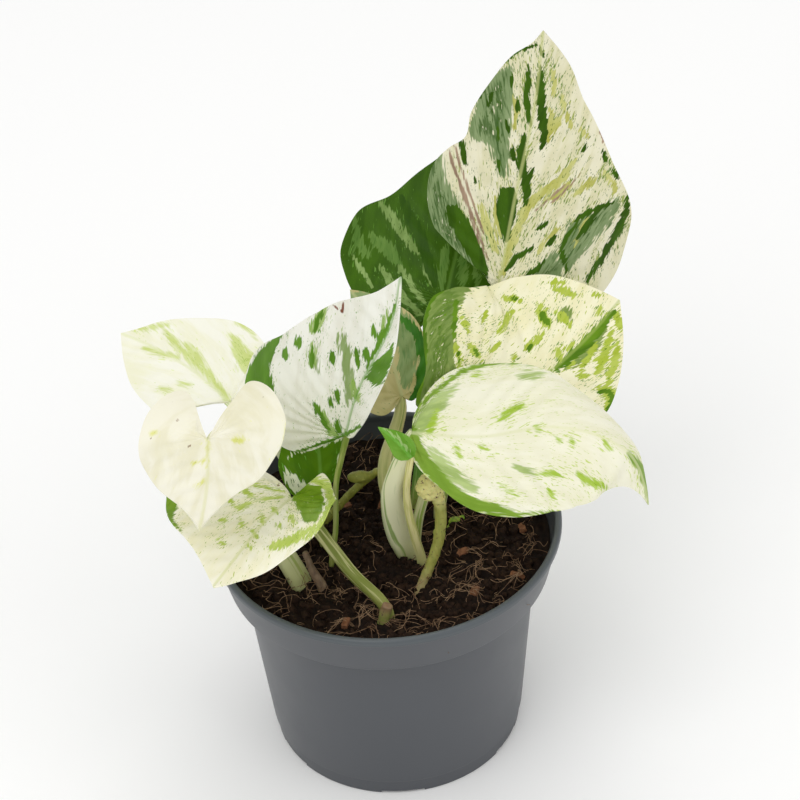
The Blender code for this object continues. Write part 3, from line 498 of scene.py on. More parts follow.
def half_blade(leaf, side):
    """Points of the half's middle surface, its normals, the vein map and the thickness, as grids."""
    sign = 1 if side == "right" else -1
    u, v, reach = half_sheet(leaf, side)
    place = blade_point(leaf, u, v)
    normal = blade_normal(leaf, u, v, sign)
    outward = np.linalg.norm(np.diff(place, axis=1, prepend=place[:, :1]), axis=2).cumsum(axis=1)
    row = place[:, int(reach.shape[1] * VEIN_MAP_ROW)]
    sideways = np.linalg.norm(np.diff(row, axis=0, prepend=row[:1]), axis=1).cumsum()
    sideways = np.broadcast_to(sideways[:, None], outward.shape)
    full = np.clip(outward[:, -1:] / SHORT_VEIN, 0, 1)
    on_rib = (reach == 0) | (outward[:, -1:] < NOTHING)
    normal = np.where(on_rib[..., None], rib_frame(leaf, np.clip(u, 0, 1))[3], normal)
    groove = -GROOVE_DEPTH * np.exp(-(outward / GROOVE_WIDTH) ** 2) * np.clip(GROOVE_REACH - u, 0, 1)
    swell = SWELL_HEIGHT * np.cos(2 * np.pi * sideways / SWELL_PITCH) * np.sin(np.pi * reach)
    uneven = UNEVEN_HEIGHT * np.sin(2 * np.pi * (place @ UNEVEN_WAY) / UNEVEN_LENGTH) * reach * full
    place = place + normal * (groove + (swell + uneven * reach) * full)[..., None]
    thickness = BLADE_THICKNESS + (EDGE_THICKNESS - BLADE_THICKNESS) * (reach * full) ** 2
    streaks = np.stack([sideways - STREAK_LEAN * outward, outward * sign], -1)
    return place, normal, streaks, thickness


# %% [markdown]
# The marks. A pothos leaf is a patchwork of cells with and without chlorophyll, so solid green sectors,
# grey-green ones where only the inner layer is green, and loose flecks lie side by side. The larger ones
# are placed one by one, as brush strokes and patches at the pixels where the photograph shows them:
# a stroke is (width, points), and a patch has width 0. Their torn edges come later, in the shader. One
# dark stroke on leaf_right is partly painted shade, where a lobe rolls down and away.

# %% Where the larger marks are
MARKS = {
    "leaf_top": dict(
        dark=[(6, [(528, 66), (529, 80), (526, 96), (528, 112), (531, 127)]),
              (9, [(525, 135), (521, 150), (521, 165), (525, 180), (527, 192), (524, 205)]),
              (9, [(541, 68), (540, 86), (541, 104), (543, 120), (544, 134), (542, 150)]),
              (4, [(540, 48), (544, 58)]), (6, [(460, 137), (463, 150), (466, 165)]),
              (0, [(500, 188), (512, 187), (517, 198), (516, 214), (512, 228), (508, 242), (504, 243),
                   (502, 232), (498, 220), (496, 203)]),
              (0, [(444, 205), (458, 205), (466, 215), (474, 232), (484, 254), (488, 272), (488, 284),
                   (480, 279), (470, 258), (458, 238), (448, 222)]),
              (7, [(628, 196), (626, 212), (616, 236), (602, 258), (586, 282)]),
              (6, [(560, 246), (564, 258), (566, 272)]), (6, [(572, 222), (590, 212), (614, 202)]),
              (6, [(506, 270), (516, 258), (532, 248)]), (5, [(526, 276), (536, 270), (545, 260)]),
              (6, [(539, 229), (548, 222)]), (4, [(583, 152), (586, 144)]), (4, [(603, 150), (606, 162)]),
              (6, [(611, 168), (618, 178)]), (5, [(537, 45), (516, 51), (496, 68), (476, 90), (466, 118)]),
              (5, [(498, 160), (500, 172)]), (4, [(474, 178), (476, 184)]), (4, [(484, 84), (480, 98)]),
              (4, [(492, 92), (488, 108)]), (4, [(512, 74), (511, 86)]), (4, [(518, 100), (517, 112)]),
              (4, [(506, 118), (508, 132)]), (4, [(497, 128), (501, 144)]), (5, [(512, 146), (513, 160)]),
              (5, [(556, 236), (546, 246)]), (5, [(533, 168), (528, 184)]),
              (6, [(598, 208), (590, 222), (576, 240)]), (5, [(578, 222), (566, 238), (562, 250)])],
        grey=[(0, [(480, 82), (512, 64), (514, 104), (510, 132), (508, 176), (498, 176), (490, 148),
                   (466, 134), (476, 108)]),
              (0, [(425, 142), (440, 146), (446, 180), (460, 204), (470, 230), (486, 276), (478, 290),
                   (452, 256), (425, 225)]),
              (0, [(560, 246), (570, 222), (590, 212), (618, 198), (620, 206), (610, 224), (594, 240),
                   (578, 260), (568, 272), (558, 270)]),
              (0, [(540, 262), (556, 250), (562, 276), (556, 284), (530, 284)])],
        light=[(5, [(552, 70), (555, 84), (554, 96)]), (5, [(562, 96), (566, 112), (572, 128)]),
               (6, [(549, 108), (553, 118), (549, 130)]), (5, [(515, 96), (517, 112), (514, 128)]),
               (5, [(560, 226), (548, 238), (538, 252)]), (6, [(596, 176), (586, 186), (572, 196)]),
               (6, [(604, 170), (612, 182), (616, 192)]), (5, [(520, 216), (517, 232), (512, 250)]),
               (5, [(494, 196), (496, 216), (500, 236)]), (5, [(590, 216), (580, 232), (574, 246)]),
               (9, [(502, 276), (512, 240), (528, 206), (545, 190), (562, 178), (576, 160)]),
               (9, [(480, 205), (488, 228), (497, 252)]), (10, [(548, 140), (552, 124), (560, 118)]),
               (6, [(582, 130), (588, 138)]), (7, [(545, 200), (562, 194), (572, 180)])],
        brown=[(3, [(446, 138), (452, 162), (464, 194), (478, 232), (488, 262)]),
               (2.5, [(453, 140), (460, 166), (472, 200), (484, 236)]),
               (2, [(458, 182), (470, 214), (480, 246)]), (2, [(566, 184), (548, 200), (534, 212)]),
               (2, [(582, 172), (560, 196), (546, 206)]), (3, [(600, 128), (604, 145)]),
               (6, [(541, 22), (545, 30)])]),
    "leaf_back": dict(
        light=[(9, [(380, 202), (392, 218), (403, 235), (420, 254)]),
               (6, [(399, 266), (412, 286), (425, 303)]),
               (7, [(379, 266), (390, 280), (405, 300), (422, 315)]),
               (4, [(352, 254), (363, 273), (373, 287)]), (5, [(424, 262), (432, 285)])],
        grey=[(11, [(353, 232), (362, 246), (368, 256)]), (14, [(372, 236), (388, 250), (398, 262)]),
              (10, [(445, 246), (444, 262), (441, 288)]), (9, [(463, 252), (462, 270), (461, 286)]),
              (7, [(475, 262), (478, 286)]), (6, [(352, 212), (357, 232), (352, 254)])],
        dark=[(12, [(400, 196), (420, 236), (436, 286)]), (8, [(396, 186), (380, 194), (360, 206)])],
        brown=[(7, [(404, 321), (412, 332), (420, 341)])]),
    "leaf_right": dict(
        # The first dark stroke runs along the left edge of the grey-green lobe, where it rolls down and away:
        # partly the sector's green, partly painted shade.
        dark=[(9, [(417, 402), (423, 360), (422, 320), (430, 298), (446, 286)]),
              (5, [(456, 300), (454, 340)]),
              (10, [(614, 311), (600, 328), (588, 342), (572, 356), (556, 370)]),
              (7, [(541, 311), (544, 318), (549, 325)]), (4, [(510, 300), (517, 298)]),
              (4, [(532, 344), (527, 350)]), (6, [(598, 392), (610, 392), (613, 404), (606, 413)]),
              (4, [(474, 348), (478, 357)]), (3, [(458, 350), (459, 366)])],
        grey=[(0, [(412, 408), (417, 395), (423, 360), (420, 320), (428, 296), (445, 282), (458, 282),
                   (472, 284), (463, 300), (457, 318), (455, 345), (455, 372), (438, 400), (420, 414)]),
              (12, [(558, 318), (566, 312), (569, 320)]), (12, [(604, 330), (590, 350), (566, 368)])],
        light=[(7, [(504, 298), (512, 299), (520, 300)]), (6, [(550, 283), (557, 282), (564, 283)]),
               (8, [(554, 289), (564, 291), (575, 296)]), (7, [(512, 312), (505, 322), (498, 333)]),
               (5, [(538, 305), (545, 309)]), (10, [(539, 310), (544, 318), (549, 327)]),
               (7, [(544, 332), (535, 341), (526, 350)]), (7, [(470, 344), (475, 352), (481, 359)]),
               (6, [(456, 344), (458, 356), (460, 370)]), (9, [(556, 312), (564, 318), (569, 326)]),
               (6, [(557, 348), (560, 356), (562, 364)]), (6, [(486, 312), (482, 322)]),
               (5, [(500, 342), (490, 352)]), (9, [(614, 312), (618, 320), (621, 328)]),
               (6, [(518, 354), (511, 364)]), (6, [(577, 376), (588, 376)]), (5, [(592, 295), (599, 295)]),
               (6, [(462, 318), (468, 330)]), (4, [(574, 340), (567, 350)]), (5, [(590, 362), (604, 356)]),
               (12, [(598, 388), (612, 394), (608, 412)]), (9, [(612, 330), (606, 352), (597, 374)]),
               (7, [(596, 344), (588, 360), (580, 370)]), (8, [(618, 344), (614, 366), (608, 384)]),
               (6, [(576, 358), (568, 368)]), (5, [(602, 306), (596, 316)])]),
    "leaf_front": dict(
        dark=[(14, [(409, 422), (413, 438), (424, 462), (448, 489), (474, 505), (512, 512)]),
              (5, [(409, 424), (420, 405), (437, 390), (461, 372), (489, 363), (520, 361), (545, 366)]),
              (4, [(480, 511), (500, 516), (530, 514), (554, 512)]),
              (8, [(629, 453), (641, 468), (648, 488), (649, 506)])],
        grey=[(0, [(410, 432), (420, 408), (440, 390), (458, 384), (444, 408), (426, 432), (414, 446)]),
              (13, [(430, 450), (448, 472), (476, 490)]), (5, [(515, 466), (536, 475)]),
              (9, [(520, 376), (540, 374)])],
        light=[(7, [(500, 420), (508, 412), (522, 405)]), (8, [(578, 474), (590, 482), (605, 487)]),
               (5, [(543, 474), (552, 474), (561, 477)]), (5, [(455, 447), (460, 457)]),
               (4, [(548, 490), (554, 497)]), (4, [(536, 476), (541, 475)]),
               (3, [(498, 484), (510, 491), (517, 496)]), (7, [(437, 410), (432, 424), (428, 435)]),
               (4, [(472, 376), (480, 373)]), (4, [(560, 442), (556, 438)]), (4, [(574, 444), (571, 440)]),
               (4, [(604, 440), (611, 450)]), (4, [(540, 430), (534, 427)]), (3, [(480, 447), (488, 450)])]),
    "leaf_middle": dict(
        dark=[(0, [(290, 325), (278, 333), (261, 350), (250, 365), (243, 386), (261, 384), (274, 391),
                   (270, 367), (275, 350), (282, 336)]),
              (0, [(393, 343), (384, 355), (372, 364), (367, 377), (372, 386), (382, 384), (388, 372),
                   (393, 357)]), (5, [(322, 310), (317, 322), (314, 331)]),
              (5, [(312, 345), (312, 356), (311, 367)]), (5, [(314, 403), (322, 418), (329, 432)]),
              (5, [(336, 419), (339, 435)]), (4, [(396, 303), (385, 333), (370, 360), (364, 378)]),
              (6, [(356, 348), (359, 368)]), (5.5, [(366, 348), (368, 363)]), (5, [(373, 326), (375, 338)]),
              (6, [(298, 336), (298, 348)]), (5.5, [(337, 390), (338, 403)]), (5, [(333, 352), (333, 363)]),
              (5, [(330, 397), (332, 408)]), (5, [(285, 349), (286, 359)]), (5, [(381, 330), (379, 342)]),
              (4, [(292, 454), (320, 444), (345, 435), (360, 426)])],
        light=[(11, [(323, 309), (318, 322), (312, 331)]), (8, [(312, 343), (311, 367)]),
               (8, [(318, 408), (330, 430), (338, 436)]), (5, [(387, 309), (382, 330)]),
               (7, [(352, 380), (358, 400)])],
        grey=[(11, [(341, 335), (345, 355), (350, 380), (347, 405)]), (5, [(318, 358), (318, 372)])],
        brown=[(1.6, [(333, 305), (342, 312), (344, 300)])]),
    "leaf_hidden": dict(
        dark=[(10, [(400, 316), (418, 334), (424, 360), (420, 388), (408, 408)])],
        grey=[(20, [(396, 306), (404, 330), (408, 356), (406, 384)]),
              (14, [(346, 300), (372, 296), (390, 310)])]),
    "leaf_heart": dict(
        light=[(6, [(232, 441), (245, 440)]), (5, [(195, 487), (205, 480)]), (5, [(150, 433), (156, 432)]),
               (3, [(193, 463), (208, 460)]), (2.5, [(288, 420), (284, 445), (277, 458)]),
               (2, [(207, 438), (208, 452), (207, 466)])],
        brown=[(3, [(171, 402), (172, 403)]), (3, [(177, 420), (178, 420)]), (3, [(189, 446), (190, 447)]),
               (3, [(263, 397), (264, 398)]), (3, [(150, 438), (151, 438)])]),
    "leaf_left": dict(
        light=[(8, [(164, 331), (185, 353), (211, 377), (228, 402)]),
               (5, [(144, 348), (162, 354), (178, 357)]), (6, [(137, 329), (155, 327), (170, 324)]),
               (4, [(178, 383), (192, 384)]), (3, [(158, 388), (172, 391)]),
               (5, [(236, 322), (248, 327), (257, 337)]), (10, [(185, 345), (195, 355), (205, 372)]),
               (0, [(228, 333), (240, 338), (250, 352), (260, 358), (248, 374), (238, 370), (232, 352)])]),
    "leaf_low": dict(
        dark=[(0, [(161, 485), (168, 490), (179, 502), (173, 518), (182, 532), (170, 524), (161, 500)]),
              (0, [(290, 496), (304, 484), (320, 486), (325, 503), (317, 522), (304, 522), (298, 508)])],
        light=[(9, [(309, 478), (328, 486), (332, 503), (324, 522), (304, 539)]),
               (9, [(270, 548), (290, 541), (310, 529)]), (5, [(238, 486), (252, 496)]),
               (5, [(236, 508), (250, 504)]), (4, [(214, 505), (219, 507)]), (4, [(220, 521), (227, 520)]),
               (4, [(262, 516), (263, 525)]), (4, [(277, 525), (282, 527)]), (3, [(250, 484), (284, 492)]),
               (3, [(258, 500), (284, 497)]), (4, [(240, 520), (243, 528)]), (4, [(252, 530), (258, 538)]),
               (5, [(288, 512), (296, 524)]), (4, [(228, 500), (234, 503)]), (3, [(246, 545), (252, 548)]),
               (4, [(272, 508), (278, 513)]), (4, [(218, 540), (224, 544)])],
        brown=[(3, [(278, 484), (279, 485)]), (3, [(199, 528), (200, 529)])]),
    "leaf_shaded": dict(
        light=[(0, [(283, 466), (297, 476), (307, 487), (300, 496), (286, 484)]),
               (2.2, [(287, 460), (292, 454), (320, 446), (348, 436), (340, 455), (336, 480), (334, 505)])]),
    "leaf_young": dict(
        light=[(3, [(385, 428), (400, 440), (412, 456)])]),
}
for name, kinds in MARKS.items():
    print("%-12s" % name, ", ".join("%d %s" % (len(shapes), kind) for kind, shapes in kinds.items()))


# %% [markdown]
# A mark is kept in the mesh as a number at each point: one half on its edge, more inside, less outside.
# Between the points the renderer fills in, so the edge stays a clean line that is finer than the grid.

# %% Measuring how deep a point lies in a mark
MARK_SOFTNESS = 12.0
FAR_OUTSIDE = -100.0
STROKE_TAPER = 0.55
KINDS = ("dark", "light", "grey", "brown")


def segment_distance(pixels, start, end):
    """Distance to a line segment, and how far along it the nearest place is."""
    line = end - start
    share = np.clip(((pixels - start) @ line) / max(line @ line, NOTHING), 0, 1)
    return np.linalg.norm(pixels - start - share[:, None] * line, axis=1), share


def stroke_depth(pixels, width, points):
    """Depth in a stroke that narrows to both ends."""
    best = np.full(len(pixels), FAR_OUTSIDE)
    count = len(points) - 1
    for k in range(count):
        distance, share = segment_distance(pixels, points[k], points[k + 1])
        from_middle = np.abs(2 * (k + share) / count - 1)
        best = np.maximum(best, width / 2 * (1 - STROKE_TAPER * from_middle ** 3) - distance)
    return best


def patch_depth(pixels, corners):
    """Depth in a closed patch."""
    nearest = np.full(len(pixels), -FAR_OUTSIDE)
    inside = np.zeros(len(pixels), bool)
    for start, end in zip(corners, np.roll(corners, -1, axis=0)):
        nearest = np.minimum(nearest, segment_distance(pixels, start, end)[0])
        crosses = (start[1] > pixels[:, 1]) != (end[1] > pixels[:, 1])
        rise = np.where(end[1] == start[1], NOTHING, end[1] - start[1])
        x = start[0] + (pixels[:, 1] - start[1]) * (end[0] - start[0]) / rise
        inside ^= crosses & (pixels[:, 0] < x)
    return np.where(inside, nearest, -nearest)


def mark_shares(name, points):
    """For each point the share of dark, light, grey and brown, as columns."""
    pixels = photo_place(points)
    columns = []
    for kind in KINDS:
        depth = np.full(len(points), FAR_OUTSIDE)
        for width, path in MARKS[name].get(kind, []):
            path = np.array(path, float)
            found = stroke_depth(pixels, width, path) if width else patch_depth(pixels, path)
            depth = np.maximum(depth, found)
        columns.append(np.clip(0.5 + depth / (2 * MARK_SOFTNESS), 0, 1))
    return np.stack(columns, -1)


# %% [markdown]
# The waxy skin of a leaf. All leaves share it, and each brings its own colours. The colour is built in
# layers from the ground up. Each layer adds a share, which says how deep a point lies in a kind of mark,
# to a noise that is stretched along the veins, and shows where the sum passes a limit. A strong noise
# tears the mark's edge into streaks, and a layer without a mark of its own gives loose flecks. On a leaf
# with a blur the larger marks fade softly into the ground.

# %% Noises and layers of the blades
NOISES = {
    # size across the veins in mm, size along them, detail
    "edge": (1.15, 4.0, 1.6), "fleck": (0.85, 2.2, 1.0), "speck": (0.55, 1.0, 1.0), "cloud": (8.0, 13.0, 3.0),
    "rib": (0.5, 22.0, 3.0),
}
VEIN_SPREAD = math.hypot(1, STREAK_LEAN)
SEED_STEP = 2.3
NOISE_ROUGHNESS = 0.55
NOISE_DISTORTION = 0.3
LAYERS = (
    # share, its weight, noise, its weight, limit, softness of the edge, colours
    ("near", 0.20, "fleck", 1.0, "flecks", 0.02, "fleck"),
    ("near", 0.20, "speck", 1.0, "specks", 0.02, "speck"),
    ("grey", 1.0, "edge", 0.7, 0.85, 0.04, "grey"),
    ("grey", 0.5, "edge", 1.0, 0.97, 0.14, "deep"),
    ("grey", 0.5, "speck", 1.0, 1.14, 0.03, "dark"),
    ("grey", 0.5, "fleck", -1.0, 0.2, 0.04, "ground"),
    ("light", 1.0, "edge", 0.5, 0.75, 0.03, "light"),
    ("light", 0.5, "speck", 1.0, 0.98, 0.03, "dark"),
    ("dark", 1.0, "edge", 0.36, 0.68, 0.02, "dark"),
    ("dark", 0.5, "fleck", -1.0, 0.18, 0.03, "grey"),
    ("brown", 1.0, "edge", 0.2, 0.6, 0.025, "brown"),
)


def vein_noise(tree, vein, size, seed, detail):
    """Noise with lumps of the given size in mm, across and along the veins."""
    scale = (1 / size[0], 1 / size[1], 1)
    place = add(tree, "ShaderNodeMapping", {0: vein, "Location": (0, 0, seed), "Scale": scale})
    return add(tree, "ShaderNodeTexNoise",
               {"Vector": place, "Scale": 1.0, "Detail": detail, "Roughness": NOISE_ROUGHNESS,
                "Distortion": NOISE_DISTORTION})


print("noises:", ", ".join(NOISES), "- layers:", len(LAYERS))


# %% [markdown]
# Cuticle wax gives a soft sheen that is a little rougher on the underside, and fine ribs along the veins
# break it up like satin. A little light goes into the thin blade and comes out beside it. The clouds are
# slow changes of tone, so each mark and the ground mix two tones in the same rhythm.

# %% Finish of the blades
CLOUD_PULL = 1.4
CLOUD_LIMITS = (0.35, 0.65)
RIB_LINE = (1.0, 0.2)
UNDER_SHARE = 0.4
WAX_RANGE = (0.2, 0.8)
UPPER_ROUGHNESS = (0.35, 0.47)
UNDER_ROUGHNESS = (0.35, 0.6)
LEAF_IOR = 1.45
LEAF_SHEEN = 0.12
LEAF_GLOW = 0.1
LEAF_GLOW_DEPTH = 0.6
GLOW_RADII = (1.0, 1.0, 0.85)
RIB_BUMP = 0.06


def leaf_finish(name, tones, seed, underside):
    """Waxy cuticle of one face of one leaf."""
    material, tree, shader = new_finish(name)
    vein = add(tree, "ShaderNodeUVMap", uv_map="vein")
    marks = add(tree, "ShaderNodeAttribute", attribute_name="marks")
    shares = add(tree, "ShaderNodeSeparateColor", {0: marks.outputs["Color"]})
    share = dict(dark=shares.outputs["Red"], light=shares.outputs["Green"], grey=shares.outputs["Blue"],
                 brown=marks.outputs["Alpha"])
    noises = {}
    for k, (kind, (across, length, detail)) in enumerate(NOISES.items()):
        size = (across * VEIN_SPREAD, length / VEIN_SPREAD)
        noises[kind] = vein_noise(tree, vein, size, seed + SEED_STEP * k, detail)
    nearest = add(tree, "ShaderNodeMath", {0: share["dark"], 1: share["light"]}, operation="MAXIMUM")
    share["near"] = add(tree, "ShaderNodeMath", {0: noises["cloud"], 1: CLOUD_PULL, 2: nearest},
                        operation="MULTIPLY_ADD")
    cloudy = add(tree, "ShaderNodeMapRange",
                 {"Value": noises["cloud"], "From Min": CLOUD_LIMITS[0], "From Max": CLOUD_LIMITS[1]},
                 interpolation_type="SMOOTHSTEP")
    first, second = tones["ground"]
    colour = add(tree, "ShaderNodeMix", {MIX_SHARE: cloudy, MIX_FROM: first, MIX_TO: second},
                 data_type="RGBA").outputs[MIX_RESULT]
    for kind, share_weight, noise_kind, noise_weight, limit, soft, tone_kind in LAYERS:
        limit = tones.get(limit, limit)
        if share_weight == 1.0 and kind != "brown":
            soft = soft * tones.get("blur", 1.0)
        first, second = tones[tone_kind]
        pull = add(tree, "ShaderNodeMath", {0: share[kind], 1: share_weight}, operation="MULTIPLY")
        depth = add(tree, "ShaderNodeMath", {0: noises[noise_kind], 1: noise_weight, 2: pull},
                    operation="MULTIPLY_ADD")
        mask = add(tree, "ShaderNodeMapRange",
                   {"Value": depth, "From Min": limit - soft, "From Max": limit + soft},
                   interpolation_type="SMOOTHSTEP")
        tone = add(tree, "ShaderNodeMix", {MIX_SHARE: cloudy, MIX_FROM: first, MIX_TO: second},
                   data_type="RGBA")
        colour = add(tree, "ShaderNodeMix",
                     {MIX_SHARE: mask, MIX_FROM: colour, MIX_TO: tone.outputs[MIX_RESULT]},
                     data_type="RGBA").outputs[MIX_RESULT]
    apart = add(tree, "ShaderNodeSeparateXYZ", {0: vein})
    from_rib = add(tree, "ShaderNodeMath", {0: apart.outputs["Y"]}, operation="ABSOLUTE")
    on_rib = add(tree, "ShaderNodeMapRange",
                 {"Value": from_rib, "From Min": RIB_LINE[0], "From Max": RIB_LINE[1],
                  "To Max": tones["rib_share"]}, interpolation_type="SMOOTHSTEP")
    colour = add(tree, "ShaderNodeMix", {MIX_SHARE: on_rib, MIX_FROM: colour, MIX_TO: tones["rib"]},
                 data_type="RGBA").outputs[MIX_RESULT]
    if underside:
        colour = add(tree, "ShaderNodeMix",
                     {MIX_SHARE: UNDER_SHARE, MIX_FROM: colour, MIX_TO: tones["under"]},
                     data_type="RGBA").outputs[MIX_RESULT]
    bump = add(tree, "ShaderNodeBump", {"Strength": 1.0, "Distance": RIB_BUMP * MM, "Height": noises["rib"]})
    smooth, dull = UNDER_ROUGHNESS if underside else UPPER_ROUGHNESS
    rough = add(tree, "ShaderNodeMapRange",
                {"Value": noises["fleck"], "From Min": WAX_RANGE[0], "From Max": WAX_RANGE[1],
                 "To Min": smooth, "To Max": dull})
    feed(tree, shader,
         {"Base Color": colour, "Normal": bump, "Roughness": rough, "IOR": LEAF_IOR,
          "Specular IOR Level": LEAF_SHEEN, "Subsurface Weight": LEAF_GLOW, "Subsurface Radius": GLOW_RADII,
          "Subsurface Scale": LEAF_GLOW_DEPTH * MM})
    return material


# %% [markdown]
# The colours of each leaf, read off the photograph: the pale or green ground, what each kind of
# mark turns it to, and how many light flecks and dark specks it has: the lower the limit, the more.
# Two tones each keep any patch from being one flat colour.

# %% Colours of the leaves
TONES = {
    "leaf_top": dict(
        ground=("#e6e2c8", "#d9d5b0"), dark=("#305004", "#3e620a"), deep=("#526c3a", "#42602c"),
        light=("#b2b258", "#c8c880"), grey=("#8c9e70", "#748a5a"), brown=("#a88f78", "#8f7762"),
        fleck=("#b3b86c", "#98a55c"), speck=("#4c6c2c", "#66853f"), flecks=0.850, specks=0.855, rib="#c2c882",
        rib_share=0.6, under="#a9b98a"),
    "leaf_back": dict(
        ground=("#3f640c", "#345606"), dark=("#2c4e02", "#365a06"), deep=("#466f24", "#3a621a"),
        light=("#8ba660", "#74904a"), grey=("#66883c", "#54782e"), brown=("#cdbf9c", "#b9a67e"),
        fleck=("#4f7c1c", "#66903a"), speck=("#7fa65c", "#5f8f44"), flecks=0.900, specks=0.955, rib="#6f9440",
        rib_share=0.4, under="#5f8a4c"),
    "leaf_right": dict(
        ground=("#f3efd0", "#ebe6bc"), dark=("#4c7410", "#68901c"), deep=("#6c883a", "#5c7a2e"),
        light=("#a9bb3c", "#b9c85c"), grey=("#8ca056", "#789048"), brown=("#b0a070", "#a08f60"),
        fleck=("#b2c04a", "#a0b43c"), speck=("#8aa63c", "#5f8c34"), flecks=0.862, specks=0.872, rib="#a9bb60",
        rib_share=0.5, under="#c7d09a"),
    "leaf_front": dict(
        ground=("#efedd8", "#e8e6ca"), dark=("#86a63c", "#769830"), deep=("#bccc84", "#aabf70"),
        light=("#b3cc5a", "#9fbd40"), grey=("#b4c684", "#9cb268"), brown=("#b0a070", "#a08f60"),
        fleck=("#d2de94", "#c2d27a"), speck=("#b4c860", "#c6d480"), flecks=0.847, specks=0.862, blur=3.0,
        rib="#e0e2b4", rib_share=0.5, under="#dfe6c2"),
    "leaf_middle": dict(
        ground=("#f3f3ea", "#e9e8dc"), dark=("#64922a", "#527e1c"), deep=("#86985a", "#7c904c"),
        light=("#8cae54", "#a6be74"), grey=("#9fb080", "#8aa064"), brown=("#8a5a45", "#7a4a38"),
        fleck=("#c9d4a8", "#b2c48c"), speck=("#7fa658", "#6a9a48"), flecks=0.885, specks=0.890, blur=1.5,
        rib="#7fae54", rib_share=0.6, under="#d5dcc5"),
    "leaf_hidden": dict(
        ground=("#b4aa72", "#c0b682"), dark=("#2f6414", "#3f781e"), deep=("#6f8c54", "#5f8048"),
        light=("#b8ae74", "#c6bc8a"), grey=("#8a9c66", "#7c9058"), brown=("#a08b6c", "#8b7658"),
        fleck=("#5f8048", "#7a965c"), speck=("#48703a", "#5f8048"), flecks=0.865, specks=0.885, rib="#b5ba85",
        rib_share=0.6, under="#8a9c70"),
    "leaf_heart": dict(
        ground=("#efecda", "#e5e1c6"), dark=("#a8a860", "#98a050"), deep=("#dcdca0", "#d2d28c"),
        light=("#e0e090", "#d6d87a"), grey=("#e6e6c0", "#dedeb0"), brown=("#8a6c48", "#7a5c3c"),
        fleck=("#ecebb4", "#e6e6a6"), speck=("#dcdc98", "#e2e2a4"), flecks=0.935, specks=0.945, blur=4.0,
        rib="#dfdfb0", rib_share=0.6, under="#e6e6c6"),
    "leaf_left": dict(
        ground=("#f1f0e2", "#ebeacf"), dark=("#b4c86c", "#a6be5c"), deep=("#ccd898", "#c0cf88"),
        light=("#d2dc98", "#c6d280"), grey=("#dde6b4", "#d0dca0"), brown=("#a08a60", "#8f7a50"),
        fleck=("#e2eab2", "#d8e29c"), speck=("#d0de90", "#c4d67c"), flecks=0.905, specks=0.925, blur=4.0,
        rib="#dde3b0", rib_share=0.5, under="#dfe6c0"),
    "leaf_low": dict(
        # leaf_low's ground is its cream made paler still: painted light that lifts the shadow leaf_heart
        # casts on it.
        ground=("#f8f5e4", "#f2eed0"), dark=("#6a9010", "#7ea028"), deep=("#a8c060", "#98b44c"),
        light=("#b0c652", "#c3d46e"), grey=("#cfdca0", "#c0d088"), brown=("#8f7a50", "#7f6a40"),
        fleck=("#ccd484", "#b9c664"), speck=("#a9bb45", "#8aa838"), flecks=0.895, specks=0.880, blur=2.0,
        rib="#d8dba0", rib_share=0.6, under="#bccf86"),
    "leaf_shaded": dict(
        ground=("#557f06", "#487204"), dark=("#3a6602", "#457206"), deep=("#4c8a20", "#3f7f16"),
        light=("#e4e9cc", "#d2dcb2"), grey=("#6f9a4c", "#5f8c3e"), brown=("#a08b6c", "#8b7658"),
        fleck=("#62a030", "#72ac40"), speck=("#3a7414", "#2f6a10"), flecks=0.895, specks=0.935, rib="#7fae50",
        rib_share=0.4, under="#6f9a5c"),
    "leaf_young": dict(
        ground=("#629628", "#76a63c"), dark=("#468c10", "#549818"), deep=("#5c9c2c", "#4c8c20"),
        light=("#9cbc70", "#adc884"), grey=("#6fae4c", "#5f9c3e"), brown=("#a08b6c", "#8b7658"),
        fleck=("#6aa63c", "#7ab04a"), speck=("#44861f", "#3a7e1c"), flecks=0.895, specks=0.935, rib="#86ca5a",
        rib_share=0.4, under="#8fc46a"),
}
print("leaves with colours:", len(TONES))


# %% [markdown]
# The stalks are solid and juicy, round below with a shallow channel on top, and streaked lengthwise in
# cream and green. Their map runs round the stalk and along it, so the same kind of noise streaks them.
# The foot turns yellow-green near the peat, and on the two broad sheaths a green line marks the margin
# where one side of the sheath lies over the other.

# %% Finish of the stalks
STALK_NOISE = (1.1, 26.0)
STALK_GRAIN = (0.35, 9.0)
STALK_DETAIL = 3.0
GRAIN_SEED_STEP = 2.2
STREAK_EDGE = 0.07
STALK_BUMP = 0.05
STALK_ROUGHNESS = 0.4
STALK_SHEEN = 0.25
STALK_GLOW = 0.2
STALK_GLOW_DEPTH = 1.5
SHEATH_MARGIN = {"leaf_front": -1.5, "leaf_hidden": 0.9}
MARGIN_WIDTH = 0.28
MARGIN_SHARE = 0.85
MARGIN_WANDER = 1.6
MARGIN_TONE = "#87a055"
OUTSIDE_FADE = 1.2
OUTSIDE_SHARE = 0.3
FOOT_TONE = "#a5a95e"
FOOT_FADE = (24.0, 10.0)
FOOT_SHARE = 0.6
STALK_TONES = {
    # pale tone, green tone, limit of the green streaks
    "leaf_top": ("#d9d9ae", "#8fae52", 0.50), "leaf_back": ("#a9bf74", "#5f9034", 0.45),
    "leaf_right": ("#dfe0b2", "#9dba58", 0.50), "leaf_front": ("#e0e0ba", "#a9ba7c", 0.67),
    "leaf_middle": ("#a8b268", "#7f9440", 0.50), "leaf_hidden": ("#d6cd96", "#b9b878", 0.55),
    "leaf_heart": ("#dfe0b4", "#a8ba70", 0.62), "leaf_left": ("#e6e8c6", "#b2ca84", 0.55),
    "leaf_low": ("#c0be88", "#78823a", 0.44), "leaf_shaded": ("#9aa860", "#7a9040", 0.50),
    "leaf_young": ("#ddd69a", "#c0bf74", 0.52),
}


